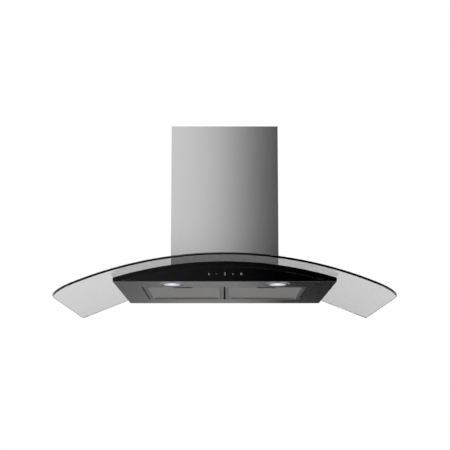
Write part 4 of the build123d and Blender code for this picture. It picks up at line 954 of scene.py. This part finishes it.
@dataclass
class Lattice(Assembly):
    """Expanded mesh that shows in each filter."""

    cell_long: float = 0.008  # Diamond's length along x.
    cell_wide: float = 0.005  # And from front to back.
    strand: float = 0.0009  # Width of a strand.
    foil: float = 0.0004  # Its thickness.
    border: float = 0.01  # Width of the filter's rim.
    wall: float = 0.001  # Thickness of the rim's sheet, which stands outside the mesh pack's edge.
    drop: float = 0.0003  # From the mesh pack's face to the lattice's middle.

    @staticmethod
    def tree() -> Tree:
        """Builds the node tree: rows of zigzag strands that meet at their peaks, open round the latch cup.

        Returns:
            The tree, with named inputs for its sizes.
        """
        sizes = ("Width", "Depth", "Cell Long", "Cell Wide", "Strand", "Foil", "Cup Half", "Cup Depth")
        inputs = dict.fromkeys(sizes, "Float") | {"Middle": "Vector", "Metal": "Material"}
        tree, size = begin_tree("expanded_mesh", inputs)
        add = partial(add_node, tree)
        half, rise, pitch, centre = (
            add("ShaderNodeMath", {1: share}, {0: size[name]}, operation="MULTIPLY")
            for name, share in (("Cell Long", 0.5), ("Cell Wide", 0.25), ("Cell Wide", 0.5), ("Width", 0.5))
        )
        along = add("ShaderNodeMath", links={0: size["Width"], 1: half}, operation="DIVIDE")
        deep = add("ShaderNodeMath", links={0: size["Depth"], 1: pitch}, operation="DIVIDE")
        peaks = add("ShaderNodeMath", {1: 1.0}, {0: along}, operation="ADD")
        run = add("ShaderNodeCombineXYZ", links={0: half})
        back = add("ShaderNodeCombineXYZ", links={1: pitch})
        strand = add("GeometryNodeMeshLine", links={"Count": peaks, "Offset": run})
        rows = add("GeometryNodeMeshLine", links={"Count": deep, "Offset": back})
        odd = add("ShaderNodeMath", {1: 2.0}, {0: add("GeometryNodeInputIndex")}, operation="MODULO")
        swing = add("ShaderNodeMapRange", {"To Min": -1.0, "To Max": 1.0}, {"Value": odd})
        sway = add("ShaderNodeMath", links={0: swing, 1: rise}, operation="MULTIPLY")
        aside = add("ShaderNodeCombineXYZ", links={1: sway})
        zigzag = add("GeometryNodeSetPosition", links={"Geometry": strand, "Offset": aside})
        flip = add("ShaderNodeCombineXYZ", {0: 1.0, 2: 1.0}, {1: swing})
        copies = {"Points": rows, "Instance": zigzag, "Scale": flip}
        laid = add("GeometryNodeInstanceOnPoints", links=copies)
        loose = add("GeometryNodeRealizeInstances", links={0: laid})
        spot = add("ShaderNodeSeparateXYZ", links={0: add("GeometryNodeInputPosition")}).outputs
        near = {0: spot[0], 1: centre, 2: size["Cup Half"]}
        beside = add("ShaderNodeMath", links=near, operation="COMPARE")
        before = add("ShaderNodeMath", links={0: spot[1], 1: size["Cup Depth"]}, operation="LESS_THAN")
        inside = add("ShaderNodeMath", links={0: beside, 1: before}, operation="MULTIPLY")
        cut = add("GeometryNodeDeleteGeometry", links={"Geometry": loose, "Selection": inside})
        lines = add("GeometryNodeMeshToCurve", links={"Mesh": cut})
        level = add("GeometryNodeSetCurveNormal", links={"Curve": lines}, mode="Z_UP")
        sides = {"Width": size["Strand"], "Height": size["Foil"]}
        section = add("GeometryNodeCurvePrimitiveQuadrilateral", links=sides)
        sweep = {"Curve": level, "Profile Curve": section}
        solid = add("GeometryNodeCurveToMesh", {"Fill Caps": True}, sweep)
        span = add("ShaderNodeCombineXYZ", links={0: size["Width"], 1: size["Depth"]})
        shift = add("ShaderNodeVectorMath", {1: (-0.5, -0.5, 0.0)}, {0: span}, operation="MULTIPLY")
        start = add("ShaderNodeVectorMath", links={0: shift, 1: size["Middle"]}, operation="ADD")
        moved = add("GeometryNodeTransform", links={"Geometry": solid, "Translation": start})
        end_tree(tree, moved, size["Metal"])
        return tree

    def fit(self) -> None:
        """Lays a lattice in each filter's opening, below and above its mesh pack."""
        tree = self.tree()
        for side in SIDES:
            frame_node = f"filter_frame_{side}"
            low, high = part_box(f"filter_mesh_{side}")
            frame_low, frame_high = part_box(frame_node)
            cup_low, cup_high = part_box(f"latch_cup_{side}")
            depth = high.y - low.y - 2 * (self.border - self.wall)
            x, y = (low.x + high.x) / 2, (low.y + high.y) / 2
            sizes = {
                "Width": frame_high.x - frame_low.x - 2 * self.border,
                "Depth": depth,
                "Cell Long": self.cell_long,
                "Cell Wide": self.cell_wide,
                "Strand": self.strand,
                "Foil": self.foil,
                "Cup Half": (cup_high.x - cup_low.x) / 2 + self.strand,
                "Cup Depth": cup_high.y - y + depth / 2 + self.strand,
                "Metal": self.paints.made["aluminium_mesh"],
            }
            for kind, z in (("expanded_mesh", low.z - self.drop), ("inner_mesh", high.z + self.drop)):
                name = f"{kind}_{side}"
                mesh = grown(name, bpy.data.meshes.new("seed"), tree, sizes | {"Middle": (x, y, z)})
                self.place(name, mesh, "aluminium_mesh", body_of(frame_node))


@dataclass
class ScrewSet(Assembly):
    """One kind of cross-recess screw, wherever it is used."""

    name: str  # The piece's name.
    node: str  # CAD node that it stands for.
    head_radius: float  # Of the head.
    head_height: float  # Of the head.
    shank_radius: float  # Of the shank.
    spots: list[Seat]  # Each screw's seat, the way its head points and its shank's length.
    # Radius of the head's crown and length and width of its cross, as shares of its radius.
    shares: ClassVar[tuple[float, ...]] = (0.72, 1.1, 0.28)

    @classmethod
    def tree(cls) -> Tree:
        """Builds the node tree: one screw, set on each point of the seed.

        Returns:
            The tree, with named inputs for its sizes.
        """
        sizes = dict.fromkeys(("Head Radius", "Head Height", "Shank Radius"), "Float")
        inputs = {"Seats": "Geometry"} | sizes | {"Metal": "Material"}
        tree, size = begin_tree("cross_recess_screws", inputs)
        add = partial(add_node, tree)
        radius, height = size["Head Radius"], size["Head Height"]
        crown, long, slim = (
            add("ShaderNodeMath", {1: share}, {0: radius}, operation="MULTIPLY") for share in cls.shares
        )
        cone = {"Radius Top": crown, "Radius Bottom": radius, "Depth": height}
        head = add("GeometryNodeMeshCone", {"Vertices": 24}, cone)
        cross = add("GeometryNodeJoinGeometry")
        for wide, deep in ((long, slim), (slim, long)):
            arm = add("ShaderNodeCombineXYZ", links={0: wide, 1: deep, 2: height})
            join(cross, {0: add("GeometryNodeMeshCube", links={"Size": arm})})
        up = add("ShaderNodeCombineXYZ", links={2: height})
        raised = add("GeometryNodeTransform", links={"Geometry": cross, "Translation": up})
        cut = add("GeometryNodeMeshBoolean", links={0: head, 1: raised}, operation="DIFFERENCE")
        way = add("GeometryNodeInputNamedAttribute", {0: "outwards"}, data_type="FLOAT_VECTOR")
        turned = add("FunctionNodeAlignRotationToVector", links={"Vector": way}, axis="Z")
        unit = {"Vertices": 20, "Depth": 1.0}
        rod = add("GeometryNodeMeshCylinder", unit, {"Radius": size["Shank Radius"]})
        sunk = add("GeometryNodeTransform", {"Translation": (0.0, 0.0, -0.5)}, {"Geometry": rod})
        length = add("GeometryNodeInputNamedAttribute", {0: "shank"}, data_type="FLOAT")
        stretch = add("ShaderNodeCombineXYZ", {0: 1.0, 1: 1.0}, {2: length})
        both = add("GeometryNodeJoinGeometry")
        for links in ({"Instance": cut}, {"Instance": sunk, "Scale": stretch}):
            seated = {"Points": size["Seats"], "Rotation": turned} | links
            join(both, {0: add("GeometryNodeInstanceOnPoints", links=seated)})
        end_tree(tree, both, size["Metal"])
        return tree

    def drive(self, tree: Tree) -> None:
        """Sets the screws in their places.

        Args:
            tree: The screws' node tree.
        """
        seed = bpy.data.meshes.new("seats")
        seed.from_pydata([seat for seat, _, _ in self.spots], [], [])
        ways = seed.attributes.new("outwards", "FLOAT_VECTOR", "POINT")
        ways.data.foreach_set("vector", [part for _, way, _ in self.spots for part in way])
        lengths = seed.attributes.new("shank", "FLOAT", "POINT")
        lengths.data.foreach_set("value", [length for _, _, length in self.spots])
        sizes = {
            "Head Radius": self.head_radius,
            "Head Height": self.head_height,
            "Shank Radius": self.shank_radius,
            "Metal": self.paints.made["screw_steel"],
        }
        mesh = grown(self.name, seed, tree, sizes)
        self.place(self.name, mesh, "screw_steel", body_of(self.node), self.node)


@dataclass
class Fasteners(Assembly):
    """All the screws, where the frame has them."""

    arch_radius: float = 1.0204  # Of the top of the blower box's flange.
    # Screws in the flange, as x and y on the right half.
    flange_spots: tuple[Flat, ...] = ((0.13, -0.19), (0.13, -0.13), (0.13, -0.07), (0.0625, -0.255))
    flange_gap: float = 0.0001  # Between the flange and the inner side of a screw's head.
    sleeve_spot: Point = (0.1531, -0.04, -0.22)  # Screw in the chimney sleeve's right side.
    # Radius and height of those screws' heads and radius of their shanks.
    panel_head: tuple[float, ...] = (0.0036, 0.0022, 0.002)
    panel_shanks: Flat = (0.009, 0.0045)  # Lengths of the flange's and the sleeve's shanks.
    # Screws in the glass, as x and y on the right half.
    canopy_spots: tuple[Flat, ...] = ((0.215, -0.06), (0.215, -0.34))
    canopy_seat: float = 0.0018  # Height of those screws' seats above the glass.
    canopy_head: tuple[float, ...] = (0.0086, 0.003, 0.003)  # As panel_head, of those screws.
    canopy_shank: float = 0.0156  # Length of their shanks.
    motor_spot: Point = (-0.0655, -0.131, -0.1)  # Middle of the motor's three screws.
    motor_reach: float = 0.07  # Their distance from it.
    motor_turns: tuple[float, ...] = (30.0, 150.0, 270.0)  # Their places round it, in degrees.
    control_spot: Point = (0.0752, -0.4059, -0.27)  # Right-hand screw of the control housing.
    # As panel_head, of the motor's and the control housing's screws.
    small_head: tuple[float, ...] = (0.003, 0.002, 0.0015)
    small_shanks: Flat = (0.0105, 0.003)  # Lengths of the motor's and the control housing's shanks.

    def __post_init__(self) -> None:
        """Finds the level of the bend's axis."""
        self.axis_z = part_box("canopy_glass")[1].z - Canopy.bend

    def panel_seats(self) -> list[Seat]:
        """Seats of the flange's and the chimney sleeve's screws.

        Returns:
            Seat, outward way and shank length of each.
        """
        seats = []
        for side in HANDS:
            for x, y in self.flange_spots:
                inner = x - self.panel_head[0]
                z = self.axis_z + math.sqrt(self.arch_radius**2 - inner**2) + self.flange_gap
                seats.append(((side * x, y, z), (0.0, 0.0, 1.0), self.panel_shanks[0]))
            x, y, z = self.sleeve_spot
            seats.append(((side * x, y, z), (float(side), 0.0, 0.0), self.panel_shanks[1]))
        return seats

    def canopy_seats(self) -> list[Seat]:
        """Seats of the screws that clamp the glass, square to it.

        Returns:
            Seat, outward way and shank length of each.
        """
        seats = []
        reach = Canopy.bend + self.canopy_seat
        for side in HANDS:
            for x, y in self.canopy_spots:
                turn = side * math.asin(x / Canopy.bend)
                seat = (reach * math.sin(turn), y, self.axis_z + reach * math.cos(turn))
                seats.append((seat, (math.sin(turn), 0.0, math.cos(turn)), self.canopy_shank))
        return seats

    def small_seats(self) -> list[Seat]:
        """Seats of the motor's and the control housing's screws.

        Returns:
            Seat, outward way and shank length of each.
        """
        x, y, z = self.motor_spot
        motor_shank, control_shank = self.small_shanks
        seats = []
        for turn in map(math.radians, self.motor_turns):
            seat = (x, y - self.motor_reach * math.cos(turn), z + self.motor_reach * math.sin(turn))
            seats.append((seat, (-1.0, 0.0, 0.0), motor_shank))
        x, y, z = self.control_spot
        seats += [((side * x, y, z), (0.0, 1.0, 0.0), control_shank) for side in HANDS]
        return seats

    def drive(self) -> None:
        """Sets every kind of screw."""
        tree = ScrewSet.tree()
        for name, node, head, seats in (
            ("panel_screw_set", "panel_screws", self.panel_head, self.panel_seats()),
            ("canopy_screw_set", "glass_screws", self.canopy_head, self.canopy_seats()),
            ("small_screw_set", "small_screws", self.small_head, self.small_seats()),
        ):
            ScrewSet(self.paints, name, node, *head, seats).drive(tree)


def stand_panel(name: str, corners: list[Point], material: Material) -> bpy.types.Object:
    """Stands one flat panel on the stage.

    Args:
        name: Its name.
        corners: Its four corners.
        material: Its material.

    Returns:
        The panel.
    """
    mesh = bpy.data.meshes.new(name)
    mesh.from_pydata(corners, [], [(0, 1, 2, 3)])
    mesh.materials.append(material)
    panel = put_in_scene(name, mesh)
    return panel


@dataclass(frozen=True)
class Lamp:
    """A soft square light."""

    name: str  # Its name.
    place: Point  # Where it hangs.
    aim: Point  # What it points at.
    size: float  # Its side.
    power: float  # Its power in watts.

    def hang(self) -> None:
        """Hangs the light, where no reflection shows it."""
        light = bpy.data.lights.new(self.name, "AREA")
        light.shape = "SQUARE"
        light.size = self.size
        light.energy = self.power
        lamp = put_in_scene(self.name, light)
        lamp.location = self.place
        lamp.rotation_euler = (Vector(self.aim) - Vector(self.place)).to_track_quat("-Z", "Y").to_euler()
        lamp.visible_glossy = False


@dataclass(frozen=True)
class Card:
    """A wide graded card that only reflections see, straight or through glass."""

    name: str  # Its name.
    y: float  # Where it stands: negative in front of the wall, positive behind it.
    levels: Flat  # Its lower and upper edge.
    stops: tuple[Flat, ...]  # Brightness along x, as place and strength.
    # Even brightness for a reflection that is seen through the glass, if it has one.
    veiled: float | None = None
    through_glass: bool = True  # Whether what lies behind glass sees it.
    half: ClassVar[float] = 1.3  # Half its width.
    reach: ClassVar[float] = 1.5  # Farthest place to either side that a stop can have.

    def paper(self) -> Material:
        """Makes the card's graded material.

        Returns:
            The material.
        """
        material = blank_material(self.name + "_paper_matt")
        add = partial(add_node, material.node_tree)
        place = add("ShaderNodeTexCoord").outputs["Object"]
        x = add("ShaderNodeSeparateXYZ", links={0: place})
        share = add("ShaderNodeMapRange", {"From Min": -self.reach, "From Max": self.reach}, {"Value": x})
        ramp = add("ShaderNodeValToRGB", links={0: share})
        marks = ramp.color_ramp.elements
        marks.remove(marks[-1])
        places = [(at + self.reach) / (2 * self.reach) for at, _ in self.stops]
        marks[0].position = places[0]
        for at in places[1:]:
            marks.new(at)
        for mark, (_, value) in zip(marks, self.stops):
            mark.color = (value, value, value, 1.0)
        rays = add("ShaderNodeLightPath").outputs
        tint = ramp.outputs[0]
        if self.veiled is not None:
            even = (self.veiled, self.veiled, self.veiled, 1.0)
            mix = {0: rays["Transmission Depth"], 6: ramp}
            tint = add("ShaderNodeMix", {7: even}, mix, data_type="RGBA").outputs[2]
        glow = add("ShaderNodeEmission", {"Strength": 1.0}, {"Color": tint})
        open_air = add("ShaderNodeBsdfTransparent")
        seen = add("ShaderNodeMixShader", links={0: rays["Glossy Depth"], 1: open_air, 2: glow})
        add("ShaderNodeOutputMaterial", links={"Surface": seen})
        return material

    def stand(self) -> None:
        """Stands the card."""
        low, high = self.levels
        turns = ((-1, low), (1, low), (1, high), (-1, high))
        corners = [(side * self.half, self.y, z) for side, z in turns]
        card = stand_panel(self.name, corners, self.paper())
        card.visible_camera = card.visible_diffuse = card.visible_shadow = False
        card.visible_transmission = self.through_glass


LAMPS = (
    Lamp("key", (-1.8, -2.4, 1.4), (0.0, -0.2, -0.1), 1.6, 40.0),
    Lamp("fill", (2.0, -1.8, -0.9), (0.0, -0.2, -0.2), 1.6, 12.0),
)
# What the chimney and the underside mirror: each card's stops run from left to right.
CARDS = (
    Card(
        "front_card",
        -3.2,
        (0.32, 4.0),
        ((-0.3, 1.08), (-0.15, 1.02), (0.0, 0.78), (0.12, 0.45), (0.25, 0.16), (0.45, 0.03)),
        veiled=0.73,
    ),
    Card("front_low_card", -3.2, (-1.6, 0.32), ((-0.7, 0.32), (0.0, 0.12), (0.3, 0.0))),
    Card(
        "wall_card",
        1.2,
        (-2.5, -0.36),
        (
            (-0.68, 0.7),
            (-0.54, 0.125),
            (-0.4, 0.15),
            (-0.2, 0.24),
            (0.05, 0.24),
            (0.17, 0.17),
            (0.28, 0.04),
            (0.54, 0.012),
            (0.68, 0.7),
        ),
        through_glass=False,
    ),
)


@dataclass
class Studio:
    """Plain pale floor, white surround, soft light and the photograph's camera."""

    camera_place: Point = (0.0, -2.51844, -0.6464)  # Where the camera stands.
    tilt: float = 6.159  # How far it looks up, in degrees.
    focal_mm: float = 64.22  # Focal length on a 36 mm sensor.
    shift: Flat = (0.0007, 0.2329)  # Shift of the frame.
    floor_z: float = -1.6  # Level of the floor.
    floor_half: float = 30.0  # Half the floor's side.
    surround: float = 0.45  # Strength of the surround's soft light.

    @staticmethod
    def seen_white(tree: Tree) -> Node:
        """Tells whether the camera, a reflection or a look through glass meets this surface.

        Args:
            tree: The material's or the world's tree.

        Returns:
            The node that gives one where it does.
        """
        rays = add_node(tree, "ShaderNodeLightPath").outputs
        straight = {0: rays["Is Camera Ray"], 1: rays["Is Glossy Ray"]}
        direct = add_node(tree, "ShaderNodeMath", links=straight, operation="ADD")
        through = {0: direct, 1: rays["Is Transmission Ray"]}
        return add_node(tree, "ShaderNodeMath", links=through, operation="ADD", use_clamp=True)

    def surround_light(self) -> None:
        """Sets the world: white to look at, softer as a light."""
        world = bpy.data.worlds.new("studio")
        bpy.context.scene.world = world
        world.use_nodes = True
        tree = world.node_tree
        tree.nodes.clear()
        levels = {"To Min": self.surround, "To Max": 1.0}
        strength = add_node(tree, "ShaderNodeMapRange", levels, {"Value": self.seen_white(tree)})
        shade = add_node(tree, "ShaderNodeBackground", {"Color": WHITE}, {"Strength": strength})
        add_node(tree, "ShaderNodeOutputWorld", links={"Surface": shade})

    def floor(self) -> None:
        """Lays the pale floor."""
        material = blank_material("floor_paint_matt_pale")
        tree = material.node_tree
        paint = add_node(tree, "ShaderNodeBsdfDiffuse", {"Color": linear("E6E6E6")})
        white = add_node(tree, "ShaderNodeEmission", {"Color": WHITE, "Strength": 1.0})
        both = add_node(tree, "ShaderNodeMixShader", links={0: self.seen_white(tree), 1: paint, 2: white})
        add_node(tree, "ShaderNodeOutputMaterial", links={"Surface": both})
        sides = ((-1, -1), (1, -1), (1, 1), (-1, 1))
        corners = [(x * self.floor_half, y * self.floor_half, self.floor_z) for x, y in sides]
        stand_panel("floor", corners, material)

    def camera(self) -> None:
        """Stands the camera where the photograph was taken."""
        lens = bpy.data.cameras.new("camera")
        lens.sensor_width = 36.0
        lens.lens = self.focal_mm
        lens.shift_x, lens.shift_y = self.shift
        lens.clip_start = 0.01
        stand = put_in_scene("camera", lens)
        stand.location = self.camera_place
        stand.rotation_euler = (math.radians(90 + self.tilt), 0.0, 0.0)
        bpy.context.scene.camera = stand

    def set_up(self) -> None:
        """Builds the studio."""
        bpy.context.scene.view_settings.view_transform = "Standard"
        self.camera()
        self.surround_light()
        self.floor()
        for lamp in LAMPS:
            lamp.hang()
        for card in CARDS:
            card.stand()


def main() -> None:
    """Builds the studio and the hood's pieces in order."""
    logging.basicConfig(level=logging.INFO, format="%(message)s")
    Studio().set_up()
    paints = Paints()
    Canopy(paints).glass()
    panel = FrontPanel(paints)
    panel.fascia()
    panel.marks()
    Steelwork(paints).covers()
    LatchSprings(paints).fit()
    Lattice(paints).fit()
    Fasteners(paints).drive()
    paints.coat_frame()


if __name__ == "__main__":
    main()
